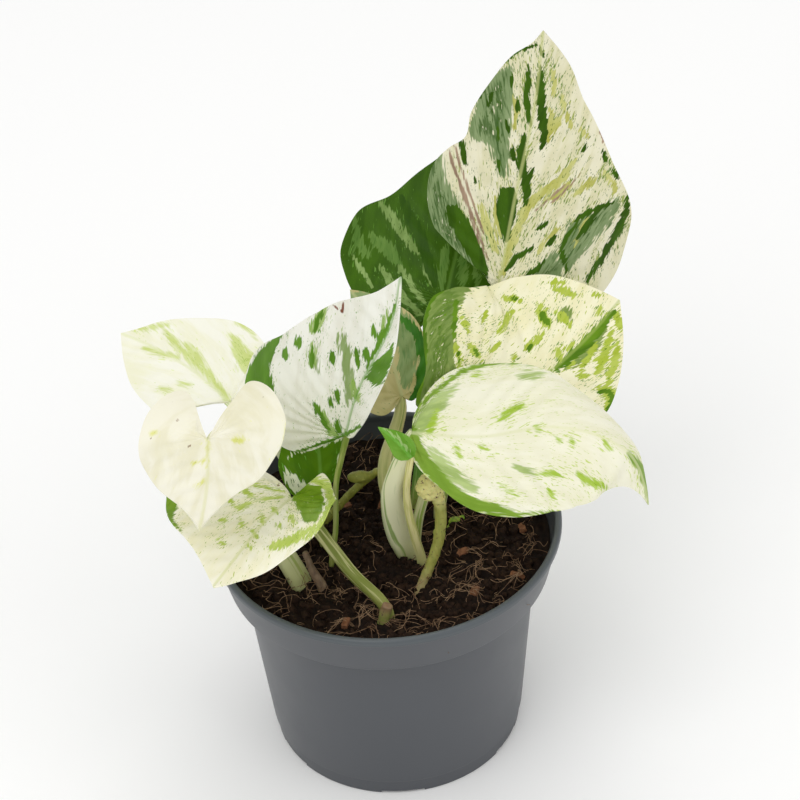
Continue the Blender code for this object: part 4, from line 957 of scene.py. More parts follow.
def margin_masks(tree, around, streak, margin):
    """Shares of the side beyond the sheath's margin, and of the line on it."""
    wander = add(tree, "ShaderNodeMath", {0: streak, 1: MARGIN_WANDER, 2: margin - MARGIN_WANDER / 2},
                 operation="MULTIPLY_ADD")
    off = add(tree, "ShaderNodeMath", {0: around, 1: wander}, operation="SUBTRACT")
    away = add(tree, "ShaderNodeMath", {0: off}, operation="ABSOLUTE")
    on_line = add(tree, "ShaderNodeMapRange",
                  {"Value": away, "From Min": MARGIN_WIDTH, "From Max": MARGIN_WIDTH / 3,
                   "To Max": MARGIN_SHARE}, interpolation_type="SMOOTHSTEP")
    outside = add(tree, "ShaderNodeMapRange",
                  {"Value": off, "From Min": 0.0, "From Max": -OUTSIDE_FADE, "To Max": OUTSIDE_SHARE},
                  interpolation_type="SMOOTHSTEP")
    return outside, on_line


def stalk_finish(name, pale, green, seed, limit, margin=None):
    """Smooth juicy stalk, streaked along its length."""
    material, tree, shader = new_finish(name)
    vein = add(tree, "ShaderNodeUVMap", uv_map="vein")
    streak = vein_noise(tree, vein, STALK_NOISE, seed, STALK_DETAIL)
    grain = vein_noise(tree, vein, STALK_GRAIN, seed + GRAIN_SEED_STEP, STALK_DETAIL)
    streaked = add(tree, "ShaderNodeMapRange",
                   {"Value": streak, "From Min": limit - STREAK_EDGE, "From Max": limit + STREAK_EDGE},
                   interpolation_type="SMOOTHSTEP")
    apart = add(tree, "ShaderNodeSeparateXYZ", {0: vein})
    at_foot = add(tree, "ShaderNodeMapRange",
                  {"Value": apart.outputs["Y"], "From Min": FOOT_FADE[0], "From Max": FOOT_FADE[1],
                   "To Max": FOOT_SHARE}, interpolation_type="SMOOTHSTEP")
    layers = [(streaked, green), (at_foot, FOOT_TONE)]
    if margin is not None:
        masks = margin_masks(tree, apart.outputs["X"], streak, margin)
        layers += [(mask, MARGIN_TONE) for mask in masks]
    colour = pale
    for mask, tone in layers:
        colour = add(tree, "ShaderNodeMix", {MIX_SHARE: mask, MIX_FROM: colour, MIX_TO: tone},
                     data_type="RGBA").outputs[MIX_RESULT]
    bump = add(tree, "ShaderNodeBump", {"Strength": 1.0, "Distance": STALK_BUMP * MM, "Height": grain})
    feed(tree, shader,
         {"Base Color": colour, "Normal": bump, "Roughness": STALK_ROUGHNESS, "IOR": LEAF_IOR,
          "Specular IOR Level": STALK_SHEEN, "Subsurface Weight": STALK_GLOW, "Subsurface Radius": GLOW_RADII,
          "Subsurface Scale": STALK_GLOW_DEPTH * MM})
    return material


print("stalk colours:", len(STALK_TONES))


# %% [markdown]
# A tube along a curve makes a stalk or stem. Its rings are turned so that one side always faces the way
# that the leaf's face looks, which keeps the channel on top and the tube free of twist.

# %% A grooved tube
TUBE_SIDES = 20
CHANNEL_DEPTH = 0.2
CHANNEL_WIDTH = 0.55
SHEATH_WIDTH = {"leaf_front": 1.5, "leaf_hidden": 1.15, "leaf_heart": 1.15}
FOOT_PULL = 0.6


def grooved_tube(points, radii, facing, channel, widening=1.0):
    """Points and vein map of a tube; facing is the side with the channel, and a sheath is widened."""
    ahead = unit(np.gradient(points, axis=0))
    top = unit(facing - ahead * (ahead @ facing)[:, None])
    side = np.cross(ahead, top)
    turn = np.linspace(-np.pi, np.pi, TUBE_SIDES + 1)
    depth = 1 - channel[:, None] * np.exp(-(turn / CHANNEL_WIDTH) ** 2)
    ring = (radii[:, None] * depth)[..., None]
    wide = side * np.broadcast_to(widening, len(points))[:, None]
    outward = top[:, None] * np.cos(turn)[:, None] + wide[:, None] * np.sin(turn)[:, None]
    grid = points[:, None] + outward * ring
    length = np.concatenate([[0], np.linalg.norm(np.diff(points, axis=0), axis=1).cumsum()])
    around = turn * radii.mean()
    vein = np.stack(np.broadcast_arrays(around[None, :], length[:, None]), -1)
    return grid, vein


# %% [markdown]
# Every piece is first collected as grids of points. Neighbouring points that fall together are merged,
# so the shell is closed, and its normals are turned outwards.

# %% Collecting grids
MERGE_DISTANCE = 1e-7


class Shell:
    """Collects grids of points, with their vein map and the number of their finish."""

    def __init__(self):
        self.points, self.veins, self.faces, self.finishes = [], [], [], []
        self.count = 0

    def grid(self, place, vein, finish, flipped):
        """Adds a grid of quads."""
        rows, columns = place.shape[:2]
        first = self.count + np.arange(rows * columns).reshape(rows, columns)
        a, b, c, d = first[:-1, :-1], first[:-1, 1:], first[1:, 1:], first[1:, :-1]
        corners = (a, d, c, b) if flipped else (a, b, c, d)
        quads = np.stack(corners, -1).reshape(-1, 4)
        self.points.append(place.reshape(-1, 3))
        self.veins.append(vein.reshape(-1, 2))
        self.faces.append(quads)
        self.finishes.append(np.full(len(quads), finish))
        self.count += rows * columns

    def mesh(self, name, marks=None):
        """The merged mesh, with the vein map and, where given, the marks at its points."""
        points = np.vstack(self.points)
        veins = np.vstack(self.veins)
        faces = np.vstack(self.faces)
        mesh = bpy.data.meshes.new(name)
        mesh.from_pydata((points * MM).tolist(), [], faces.tolist())
        mesh.polygons.foreach_set("material_index", np.concatenate(self.finishes))
        layer = mesh.uv_layers.new(name="vein")
        layer.data.foreach_set("uv", veins[faces.ravel()].astype(np.float32).ravel())
        if marks is not None:
            painted = mesh.color_attributes.new("marks", "FLOAT_COLOR", "POINT")
            painted.data.foreach_set("color", marks(points).astype(np.float32).ravel())
        shape = bmesh.new()
        shape.from_mesh(mesh)
        bmesh.ops.remove_doubles(shape, verts=shape.verts, dist=MERGE_DISTANCE)
        bmesh.ops.dissolve_degenerate(shape, edges=shape.edges, dist=MERGE_DISTANCE)
        bmesh.ops.recalc_face_normals(shape, faces=shape.faces)
        shape.to_mesh(mesh)
        shape.free()
        return mesh


def closed_ends(grid, vein):
    """The tube's grid with its end rings drawn in to their middles."""
    middles = [np.broadcast_to(ring.mean(axis=0), ring.shape)[None] for ring in (grid[0], grid[-1])]
    return (np.concatenate([middles[0], grid, middles[1]]),
            np.concatenate([vein[:1], vein, vein[-1:]]))


# %% [markdown]
# Both faces of the blade, its thin rim, the stalk and the rounded rib under the blade become one mesh
# per leaf. The stalk swells a little at the joint and sinks under the blade there, where it runs on as
# the rib. A sheath is widest in its lower half.

# %% Building a leaf
STALK_STEPS = 70
RIB_STEPS = 40
RIB_END = 0.88
RIB_TIP_RADIUS = 0.35
RIB_TAPER = 1.4
RIB_SINK = 0.15
SWOLLEN_JOINT = 0.12
JOINT_PLACE, JOINT_LENGTH = 0.94, 0.05
DROP_START, DROP_LENGTH = 0.8, 0.2
CHANNEL_END, CHANNEL_FADE = 0.9, 0.1
SHEATH_FULLNESS = 0.6


def stalk_grid(name, leaf):
    """The stalk with a slightly swollen joint, running on as the rib under the blade."""
    share = np.linspace(0, 1, STALK_STEPS)
    points = along(leaf["stalk"], share)
    radii = np.interp(share, np.linspace(0, 1, len(leaf["stalk_radii"])), leaf["stalk_radii"])
    radii = radii * (1 + SWOLLEN_JOINT * np.exp(-((share - JOINT_PLACE) / JOINT_LENGTH) ** 2))
    u = np.linspace(0, RIB_END, RIB_STEPS + 1)[1:]
    place, _, _, up = rib_frame(leaf, u)
    thin = RIB_TIP_RADIUS + (leaf["stalk_radii"][-1] - RIB_TIP_RADIUS) * (1 - u / RIB_END) ** RIB_TAPER
    joint_up = rib_frame(leaf, np.array([0.0]))[3][0]
    drop = (radii[-1] + RIB_SINK) * np.clip((share - DROP_START) / DROP_LENGTH, 0, 1) ** 2
    points = points - joint_up * drop[:, None]
    points = np.vstack([points, place - up * (thin + RIB_SINK)[:, None]])
    open_end = 1 - np.clip((share - CHANNEL_END) / CHANNEL_FADE, 0, 1)
    channel = CHANNEL_DEPTH * np.concatenate([open_end, np.zeros(RIB_STEPS)])
    open_part = np.sin(np.pi * np.clip(share / CHANNEL_END, 0, 1) ** FOOT_PULL) ** SHEATH_FULLNESS
    widening = np.concatenate([1 + (SHEATH_WIDTH.get(name, 1.0) - 1) * open_part, np.ones(RIB_STEPS)])
    facing = unit(leaf["face"][0])
    return grooved_tube(points, np.concatenate([radii, thin]), facing, channel, widening)


def make_leaf(name, leaf, seed):
    """One leaf as a closed piece with its upper face, its under face and its stalk."""
    shell = Shell()
    for side in ("left", "right"):
        place, normal, vein, thickness = half_blade(leaf, side)
        half = normal * thickness[..., None] / 2
        mirrored = side == "left"
        shell.grid(place + half, vein, 0, mirrored)
        shell.grid(place - half, vein, 1, not mirrored)
        rim = np.stack([(place + half)[:, -1], (place - half)[:, -1]], 1)
        shell.grid(rim, np.stack([vein[:, -1], vein[:, -1]], 1), 0, mirrored)
    shell.grid(*closed_ends(*stalk_grid(name, leaf)), 2, True)
    mesh = shell.mesh(name, lambda points: mark_shares(name, points))
    pale, green, limit = STALK_TONES[name]
    for material in (
            leaf_finish(name + "_upper", TONES[name], seed, False),
            leaf_finish(name + "_under", TONES[name], seed, True),
            stalk_finish(name + "_stalk", pale, green, seed, limit, SHEATH_MARGIN.get(name))):
        mesh.materials.append(material)
    return mesh


# %% Making the eleven leaves
FIRST_LEAF_SEED = 3.0
LEAF_SEED_STEP = 2.9
for number, (name, leaf) in enumerate(LEAVES.items()):
    leaf_mesh = make_leaf(name, leaf, FIRST_LEAF_SEED + LEAF_SEED_STEP * number)
    add_piece("fine_" + name, leaf_mesh, [name])


# %% [markdown]
# The stems without a blade: a slender one with brown scars that carries the crown's swollen node, the
# dry sheath of an old leaf, a cut stub, a small sprout, and the budding shoot. An end is the height in
# mm where another tone starts, the height where it is full, and the tone: the crown's pale torn sheath,
# its woody foot and the stub's brown cut.

# %% Stems, sheath, stub and sprout
STEMS = {
    "crown_stem": dict(
        path=[(9, -27, 70), (10, -26, 79), (12.5, -24, 84), (16.5, -21, 93), (18.5, -19, 103),
              (17.5, -17, 114), (15, -15, 121)],
        radii=(1.5, 2.2), lumps=[((15.5, -17.5, 116.5), (4.6, 4.2, 5.0)), ((17.6, -19, 98), (2.0, 2.0, 1.2))],
        tones=("#a09e4c", "#8a8e3e", "#664a30"), torn_above=110.0,
        ends=[(108.0, 113.0, "#ddd68c"), (89.0, 80.0, "#a8966a")]),
    "dry_sheath": dict(
        path=[(-22, -22, 70), (-22.5, -22, 79), (-25.5, -20.5, 86), (-27.5, -19, 93)],
        radii=(2.4, 1.0), lumps=[], tones=("#8f7860", "#745e4a", "#4f3a2e")),
    "cut_stub": dict(
        path=[(-3.2, -41.5, 70), (-3, -41, 78), (-0.8, -40, 86)],
        radii=(1.9, 1.9), lumps=[], tones=("#8f9448", "#7a8040", "#5f4a3a"),
        ends=[(81.5, 86.5, "#83604e")]),
    "side_sprout": dict(
        path=[(20.5, 3.5, 70), (21, 4, 77.5), (23, 5, 80.5), (27, 6.5, 82)],
        radii=(1.6, 0.8), lumps=[((23.5, 5.2, 81.5), (2.2, 1.8, 1.4))],
        tones=("#a9b83c", "#6f9a26", "#5f7a20")),
    "bud_shoot": dict(
        path=[(-21.5, 10, 70), (-21, 10, 80), (-16.3, 11, 86), (-7.5, 11, 96), (-1.5, 9, 102.5),
              (1.5, 6.5, 105)],
        radii=(1.4, 1.4), lumps=[((-8.0, 9.8, 99.9), (4.2, 2.0, 2.3))],
        tones=("#98983e", "#808634", "#b8bc5c")),
}
print("stems:", ", ".join("%s %.0f mm" % (name, curve_length(stem["path"])) for name, stem in STEMS.items()))


# %% [markdown]
# Young bark is matt and streaked along the stem, with brown scars and smaller dots that lie in clusters.
# The patterns read Object coordinates, because a remeshed stem has no map of its own.

# %% Finish of the stems
STREAKS_PER_METRE = (900, 900, 220)
STREAK_DETAIL = 4.0
STREAK_LIMITS = (0.35, 0.65)
SCARS_PER_METRE = 420.0
SCAR_DETAIL = 5.0
SCAR_ROUGHNESS = 0.65
SCAR_LIMITS = (0.60, 0.66)
DOTS_PER_METRE = 950.0
DOT_DETAIL = 3.0
DOT_LIMITS = (0.60, 0.64)
CLUSTER_LIMITS = (0.48, 0.58)
END_SHARE = 0.85
BARK_STRENGTH = 0.6
BARK_BUMP = 0.15
BARK_ROUGHNESS = 0.55
BARK_GLOW = 0.1
BARK_GLOW_DEPTH = 1.0


def stem_finish(name, tones, ends=()):
    """Streaked young bark with scars and dots, and other tones at its ends."""
    material, tree, shader = new_finish(name)
    place = add(tree, "ShaderNodeTexCoord").outputs["Object"]
    stretched = add(tree, "ShaderNodeMapping", {0: place, "Scale": STREAKS_PER_METRE})
    streak = add(tree, "ShaderNodeTexNoise", {"Vector": stretched, "Scale": 1.0, "Detail": STREAK_DETAIL})
    spots = add(tree, "ShaderNodeTexNoise",
                {"Vector": place, "Scale": SCARS_PER_METRE, "Detail": SCAR_DETAIL,
                 "Roughness": SCAR_ROUGHNESS})
    dots = add(tree, "ShaderNodeTexNoise", {"Vector": place, "Scale": DOTS_PER_METRE, "Detail": DOT_DETAIL})
    streaked = add(tree, "ShaderNodeMapRange",
                   {"Value": streak, "From Min": STREAK_LIMITS[0], "From Max": STREAK_LIMITS[1]})
    scars = add(tree, "ShaderNodeMapRange",
                {"Value": spots, "From Min": SCAR_LIMITS[0], "From Max": SCAR_LIMITS[1]},
                interpolation_type="SMOOTHSTEP")
    dotted = add(tree, "ShaderNodeMapRange",
                 {"Value": dots, "From Min": DOT_LIMITS[0], "From Max": DOT_LIMITS[1]},
                 interpolation_type="SMOOTHSTEP")
    clustered = add(tree, "ShaderNodeMapRange",
                    {"Value": spots, "From Min": CLUSTER_LIMITS[0], "From Max": CLUSTER_LIMITS[1]})
    dotted = add(tree, "ShaderNodeMath", {0: dotted, 1: clustered}, operation="MULTIPLY")
    height = add(tree, "ShaderNodeSeparateXYZ", {0: place}).outputs["Z"]
    layers = [(streaked, tones[1])]
    for first, full, tone in ends:
        at_end = add(tree, "ShaderNodeMapRange",
                     {"Value": height, "From Min": first * MM, "From Max": full * MM, "To Max": END_SHARE},
                     interpolation_type="SMOOTHSTEP")
        layers.append((at_end, tone))
    layers += [(scars, tones[2]), (dotted, tones[2])]
    colour = tones[0]
    for mask, tone in layers:
        colour = add(tree, "ShaderNodeMix", {MIX_SHARE: mask, MIX_FROM: colour, MIX_TO: tone},
                     data_type="RGBA").outputs[MIX_RESULT]
    bump = add(tree, "ShaderNodeBump",
               {"Strength": BARK_STRENGTH, "Distance": BARK_BUMP * MM, "Height": streak})
    feed(tree, shader,
         {"Base Color": colour, "Normal": bump, "Roughness": BARK_ROUGHNESS, "Subsurface Weight": BARK_GLOW,
          "Subsurface Scale": BARK_GLOW_DEPTH * MM})
    return material


# %% [markdown]
# Each stem is a few rounded volumes that grew into one another. A tube and its lumps are therefore
# joined by a fine voxel remesh and smoothed, and a noise along the normals roughens the bark, most of
# all on the torn sheath of the crown.

# %% Making the stems
VOXEL = 0.35
LUMP_SMOOTH_TURNS = 6
LUMP_FINENESS = 3
STEM_FACING = (0.0, -1.0, 0.3)
BARK_GRAIN = 2.6
BARK_NOISE = (0.7, 2.0, 3)
BARK_RELIEF = 0.22
TORN_RELIEF = 0.75


def make_stem(name, stem):
    """Tube and lumps, joined by a voxel remesh, smoothed and roughened."""
    share = np.linspace(0, 1, STALK_STEPS)
    points = along(stem["path"], share)
    radii = np.interp(share, np.linspace(0, 1, len(stem["radii"])), stem["radii"])
    tube = grooved_tube(points, radii, np.array(STEM_FACING), np.zeros(STALK_STEPS))
    grid, vein = closed_ends(*tube)
    shell = Shell()
    shell.grid(grid, vein, 0, True)
    shape = bmesh.new()
    shape.from_mesh(shell.mesh(name))
    for centre, size in stem["lumps"]:
        place = Matrix.Translation(Vector(centre) * MM) @ Matrix.Diagonal((*[r * MM for r in size], 1.0))
        bmesh.ops.create_icosphere(shape, subdivisions=LUMP_FINENESS, radius=1.0, matrix=place)
    mesh = bpy.data.meshes.new(name)
    shape.to_mesh(mesh)
    shape.free()
    worked = bpy.data.objects.new(name + "_worked", mesh)
    bpy.context.scene.collection.objects.link(worked)
    remesh = worked.modifiers.new("join", "REMESH")
    remesh.mode = "VOXEL"
    remesh.voxel_size = VOXEL * MM
    smooth = worked.modifiers.new("soften", "SMOOTH")
    smooth.iterations = LUMP_SMOOTH_TURNS
    result = evaluated_copy(worked)
    bpy.data.objects.remove(worked)
    torn_above = stem.get("torn_above", math.inf) * MM
    bark = [noise.fractal(vertex.co / (BARK_GRAIN * MM), *BARK_NOISE) for vertex in result.vertices]
    outwards = [vertex.normal.copy() for vertex in result.vertices]
    for vertex, rise, outward in zip(result.vertices, bark, outwards):
        vertex.co += outward * rise * (TORN_RELIEF if vertex.co.z > torn_above else BARK_RELIEF) * MM
    result.materials.clear()
    result.materials.append(stem_finish(name + "_bark", stem["tones"], stem.get("ends", ())))
    return result


for name, stem in STEMS.items():
    replaced = ["leaf_hidden"] if name == "bud_shoot" else [name]
    add_piece("fine_" + name, make_stem(name, stem), replaced)


# %% [markdown]
# The pot is injection moulded polypropylene: a smooth turned wall with a deep collar and a beaded rim,
# slightly satin outside, with very fine texture from the mould. A half section turned round its axis
# gives the shape, as on a lathe, and the foot notches and drain holes are cut out of it.

# %% Pot sizes
POT_HEIGHT = 88.5
RIM_RADIUS = 60.0
LIP_WIDTH = 2.5
LIP_HEIGHT = 3.0
WALL = 1.4
COLLAR_RADIUS = 55.9
COLLAR_BOTTOM = 71.6
BODY_TOP_RADIUS = 50.8
BODY_LOW_RADIUS = 44.9
STEP_HEIGHT = 6.8
STEP_IN = 0.7
BASE_RADIUS = 43.8
FOOT_WIDTH = 6.0
FOOT_HEIGHT = 1.5
PAD_RADIUS = 12.0
FLOOR_TOP = 3.0
POT_STEPS = 240
DRAIN_HOLES = 8
DRAIN_RADIUS = 3.5
DRAIN_CIRCLE = 30.0
NOTCHES = 6
NOTCH_WIDTH = 15.0
NOTCH_HEIGHT = 1.2


def body_inside(height):
    """Inner radius of the pot's tapered body."""
    low = BODY_LOW_RADIUS - STEP_IN - WALL
    return low + (BODY_TOP_RADIUS - WALL - low) * height / COLLAR_BOTTOM


def collar_inside(height):
    """Inner radius of the pot's collar."""
    low = COLLAR_RADIUS - WALL
    share = (height - COLLAR_BOTTOM) / (POT_HEIGHT - LIP_HEIGHT - COLLAR_BOTTOM)
    return low + (RIM_RADIUS - LIP_WIDTH - low) * share


print("pot: %.0f mm across, %.1f mm high" % (2 * RIM_RADIUS, POT_HEIGHT))


# %% Pot finish
POT_GRAINS_PER_METRE = 1600.0
GRAIN_DETAIL = 3.0
POT_CLOUDS_PER_METRE = 35.0
CLOUD_DETAIL = 5.0
SCUFF_LIMITS = (0.3, 0.7)
POT_ROUGHNESS = (0.36, 0.46)
POT_STRENGTH = 0.5
POT_BUMP = 0.02
POT_IOR = 1.49


def pot_finish():
    """Dark grey polypropylene: satin, with a fine mould grain and faint scuffs; its paler lip is a painted
    highlight.
    """
    material, tree, shader = new_finish("moulded_polypropylene")
    place = add(tree, "ShaderNodeTexCoord").outputs["Object"]
    grain = add(tree, "ShaderNodeTexNoise",
                {"Vector": place, "Scale": POT_GRAINS_PER_METRE, "Detail": GRAIN_DETAIL})
    cloud = add(tree, "ShaderNodeTexNoise",
                {"Vector": place, "Scale": POT_CLOUDS_PER_METRE, "Detail": CLOUD_DETAIL})
    tone = add(tree, "ShaderNodeMix", {MIX_SHARE: cloud, MIX_FROM: "#43464b", MIX_TO: "#4d5055"},
               data_type="RGBA")
    height = add(tree, "ShaderNodeSeparateXYZ", {0: place})
    # Painted highlight: the top of the lip is turned a little paler, as the thin line of light along the rim.
    lip_highlight = add(tree, "ShaderNodeMapRange",
                 {"Value": height.outputs["Z"], "From Min": (POT_HEIGHT - LIP_HEIGHT) * MM,
                  "From Max": (POT_HEIGHT - LIP_HEIGHT / 2) * MM}, interpolation_type="SMOOTHSTEP")
    tone = add(tree, "ShaderNodeMix",
               {MIX_SHARE: lip_highlight, MIX_FROM: tone.outputs[MIX_RESULT], MIX_TO: "#4e5458"}, data_type="RGBA")
    rough = add(tree, "ShaderNodeMapRange",
                {"Value": cloud, "From Min": SCUFF_LIMITS[0], "From Max": SCUFF_LIMITS[1],
                 "To Min": POT_ROUGHNESS[0], "To Max": POT_ROUGHNESS[1]})
    bump = add(tree, "ShaderNodeBump", {"Strength": POT_STRENGTH, "Distance": POT_BUMP * MM, "Height": grain})
    feed(tree, shader,
         {"Base Color": tone.outputs[MIX_RESULT], "Normal": bump, "Roughness": rough, "IOR": POT_IOR})
    return material


# %% Turning the pot
CORNER_POINTS = 5
BEAD_POINTS = 13
LIP_UNDERCUT, LIP_EDGE = 0.9, 0.5
SHELF_FALL = 0.1
STEP_FALL = 0.4
FOOT_IN, FOOT_RISE = 0.5, 0.3
FOOT_SLOPE = 0.4
POT_MERGE = 0.01


def rounded(corner, before, after, radius):
    """A few points that round a corner of the half section."""
    corner, before, after = (np.array(p, float) for p in (corner, before, after))
    start = corner + unit(before - corner) * radius
    end = corner + unit(after - corner) * radius
    t = np.linspace(0, 1, CORNER_POINTS)[:, None]
    return [tuple(p) for p in (1 - t) ** 2 * start + 2 * t * (1 - t) * corner + t ** 2 * end]


shelf_top = COLLAR_BOTTOM + WALL
under_lip = POT_HEIGHT - LIP_HEIGHT
bead = LIP_WIDTH / 2
bead_turns = np.radians(np.linspace(180, 0, BEAD_POINTS))
foot_inside = BASE_RADIUS - FOOT_WIDTH
sharp_section = [
    # radius, height, rounding of the corner: up the inside, over the lip, down the outside, along the base
    (0, FLOOR_TOP, 0), (body_inside(FLOOR_TOP), FLOOR_TOP, 1.2), (body_inside(shelf_top), shelf_top, 0.6),
    (collar_inside(shelf_top), shelf_top, 0.8), (collar_inside(under_lip), under_lip, 0.3),
    *[(RIM_RADIUS - bead + bead * math.cos(turn), POT_HEIGHT - bead + bead * math.sin(turn), 0)
      for turn in bead_turns],
    (RIM_RADIUS, under_lip + LIP_EDGE, 0.3), (RIM_RADIUS - LIP_UNDERCUT, under_lip, 0.3),
    (COLLAR_RADIUS, COLLAR_BOTTOM + SHELF_FALL, 0.7), (BODY_TOP_RADIUS, COLLAR_BOTTOM, 0.5),
    (BODY_LOW_RADIUS, STEP_HEIGHT, 0.25), (BODY_LOW_RADIUS - STEP_IN, STEP_HEIGHT - STEP_FALL, 0.2),
    (BASE_RADIUS, FOOT_RISE, 0.25), (BASE_RADIUS - FOOT_IN, 0, 0.2), (foot_inside, 0, 0.3),
    (foot_inside - FOOT_SLOPE, FOOT_HEIGHT, 0.3), (PAD_RADIUS + FOOT_SLOPE, FOOT_HEIGHT, 0.3),
    (PAD_RADIUS, 0, 0.3), (0, 0, 0)]
section = []
for k, (radius, height, rounding) in enumerate(sharp_section):
    if rounding:
        section += rounded((radius, height), sharp_section[k - 1][:2], sharp_section[k + 1][:2], rounding)
    else:
        section.append((radius, height))
pot_line = bpy.data.meshes.new("pot_section")
pot_line.from_pydata([(radius * MM, 0, height * MM) for radius, height in section],
                     [(k, k + 1) for k in range(len(section) - 1)], [])
pot_worked = bpy.data.objects.new("pot_worked", pot_line)
bpy.context.scene.collection.objects.link(pot_worked)
screw = pot_worked.modifiers.new("turn", "SCREW")
screw.steps = screw.render_steps = POT_STEPS
screw.use_merge_vertices = True
screw.merge_threshold = POT_MERGE * MM
print("half section:", len(section), "points")


# %% Cutting the drain holes and foot notches
HOLE_SIDES = 48
CUT_DEPTH = 12.0
NOTCH_REACH = 18.0
POT_SHARP_ABOVE = math.radians(35)
cutters = bpy.data.collections.new("pot_cutters")
bpy.context.scene.collection.children.link(cutters)
for k in range(DRAIN_HOLES + NOTCHES):
    shape = bmesh.new()
    if k < DRAIN_HOLES:
        turn = 2 * math.pi * (k + 0.5) / DRAIN_HOLES
        bmesh.ops.create_cone(shape, cap_ends=True, segments=HOLE_SIDES, radius1=DRAIN_RADIUS * MM,
                              radius2=DRAIN_RADIUS * MM, depth=CUT_DEPTH * MM)
        at = DRAIN_CIRCLE
    else:
        turn = 2 * math.pi * (k - DRAIN_HOLES) / NOTCHES - math.pi / 2
        bmesh.ops.create_cube(shape, size=1.0)
        block = (NOTCH_REACH * MM, NOTCH_WIDTH * MM, 2 * NOTCH_HEIGHT * MM)
        bmesh.ops.scale(shape, verts=shape.verts, vec=block)
        at = BASE_RADIUS
    place = Matrix.Rotation(turn, 4, "Z") @ Matrix.Translation((at * MM, 0, 0))
    bmesh.ops.transform(shape, verts=shape.verts, matrix=place)
    cutter_mesh = bpy.data.meshes.new("cutter")
    shape.to_mesh(cutter_mesh)
    shape.free()
    cutters.objects.link(bpy.data.objects.new("cutter", cutter_mesh))
cut = pot_worked.modifiers.new("cut", "BOOLEAN")
cut.operand_type = "COLLECTION"
cut.collection = cutters
cut.solver = "EXACT"
pot_mesh = evaluated_copy(pot_worked)
for thing in [pot_worked, *cutters.objects]:
    bpy.data.objects.remove(thing)
bpy.data.collections.remove(cutters)
pot_mesh.materials.clear()
pot_mesh.materials.append(pot_finish())
add_piece("fine_pot", pot_mesh, ["pot"], POT_SHARP_ABOVE)


# %% [markdown]
# The soil is damp dark peat. Its surface has the solid's slow lumps, and finer crumbly ones from a
# fractal noise, and it stops just short of the pot's wall.

# %% Soil surface
SOIL_LEVEL = 79.0
SOIL_RELIEF = 1.3
SEED = 11
LUMP_WAVELENGTHS = (34.0, 23.0, 15.0, 11.0)
FULL_LUMP = 40.0
LUMP_FADE = 8.0
GAP = 0.3
SOIL_RINGS = 90
SOIL_STEPS = 260
CRUMB_RELIEF = 1.9
CRUMB_SCALE = 3.8
CRUMB_SLICE = 1.7
CRUMB_NOISE = (0.8, 2.1, 4)
WALL_FADE = 3.0
WALL_SHARE = 0.3
SCATTER_RADIUS = 51.5


def soil_relief(x, y):
    """Height of the lumps over the soil's level, fading out at the wall."""
    draw = np.random.default_rng(SEED)
    total = np.zeros_like(x)
    for wavelength in LUMP_WAVELENGTHS:
        turn, phase = draw.uniform(0, 2 * np.pi, 2)
        across = x * np.cos(turn) + y * np.sin(turn)
        total += np.sin(2 * np.pi * across / wavelength + phase) * wavelength / FULL_LUMP
    fade = np.clip((collar_inside(SOIL_LEVEL) - np.hypot(x, y)) / LUMP_FADE, 0, 1)
    return SOIL_RELIEF * total * fade


def soil_height(x, y):
    """Height of the crumbly surface in mm."""
    fade = np.clip((collar_inside(SOIL_LEVEL) - np.hypot(x, y)) / WALL_FADE, 0, 1)
    places = [Vector((a / CRUMB_SCALE, b / CRUMB_SCALE, CRUMB_SLICE)) for a, b in zip(x.ravel(), y.ravel())]
    fine = np.array([noise.fractal(place, *CRUMB_NOISE) for place in places]).reshape(x.shape)
    return SOIL_LEVEL + soil_relief(x, y) + CRUMB_RELIEF * fine * (WALL_SHARE + (1 - WALL_SHARE) * fade)


def soil_grid(radii, steps):
    """Points of the surface on rings of the given radii."""
    turn = np.linspace(0, 2 * np.pi, steps + 1)
    x = radii[:, None] * np.cos(turn)
    y = radii[:, None] * np.sin(turn)
    return np.stack([x, y, soil_height(x, y)], -1)


print("soil height at the middle: %.1f mm" % soil_height(np.zeros(1), np.zeros(1))[0])


# %% Peat finish
PEAT_DETAIL = 6.0
PEAT_GRAIN = 0.7
PEAT_LIMITS = (0.35, 0.68)
PEAT_STRENGTH = 0.8
PEAT_BUMP = 0.3
PEAT_ROUGHNESS = 0.85
PEAT_SHEEN = 0.15


def peat_finish(name, tones, size):
    """Damp peat: dark, mottled in lumps of the given size in mm, and matt."""
    material, tree, shader = new_finish(name)
    place = add(tree, "ShaderNodeTexCoord").outputs["Object"]
    mottled = add(tree, "ShaderNodeTexNoise",
                  {"Vector": place, "Scale": 1 / (size * MM), "Detail": PEAT_DETAIL, "Roughness": PEAT_GRAIN})
    share = add(tree, "ShaderNodeMapRange",
                {"Value": mottled, "From Min": PEAT_LIMITS[0], "From Max": PEAT_LIMITS[1]})
    colour = add(tree, "ShaderNodeMix", {MIX_SHARE: share, MIX_FROM: tones[0], MIX_TO: tones[1]},
                 data_type="RGBA")
    bump = add(tree, "ShaderNodeBump",
               {"Strength": PEAT_STRENGTH, "Distance": PEAT_BUMP * MM, "Height": mottled})
    feed(tree, shader,
         {"Base Color": colour.outputs[MIX_RESULT], "Normal": bump, "Roughness": PEAT_ROUGHNESS,
          "Specular IOR Level": PEAT_SHEEN})
    return material


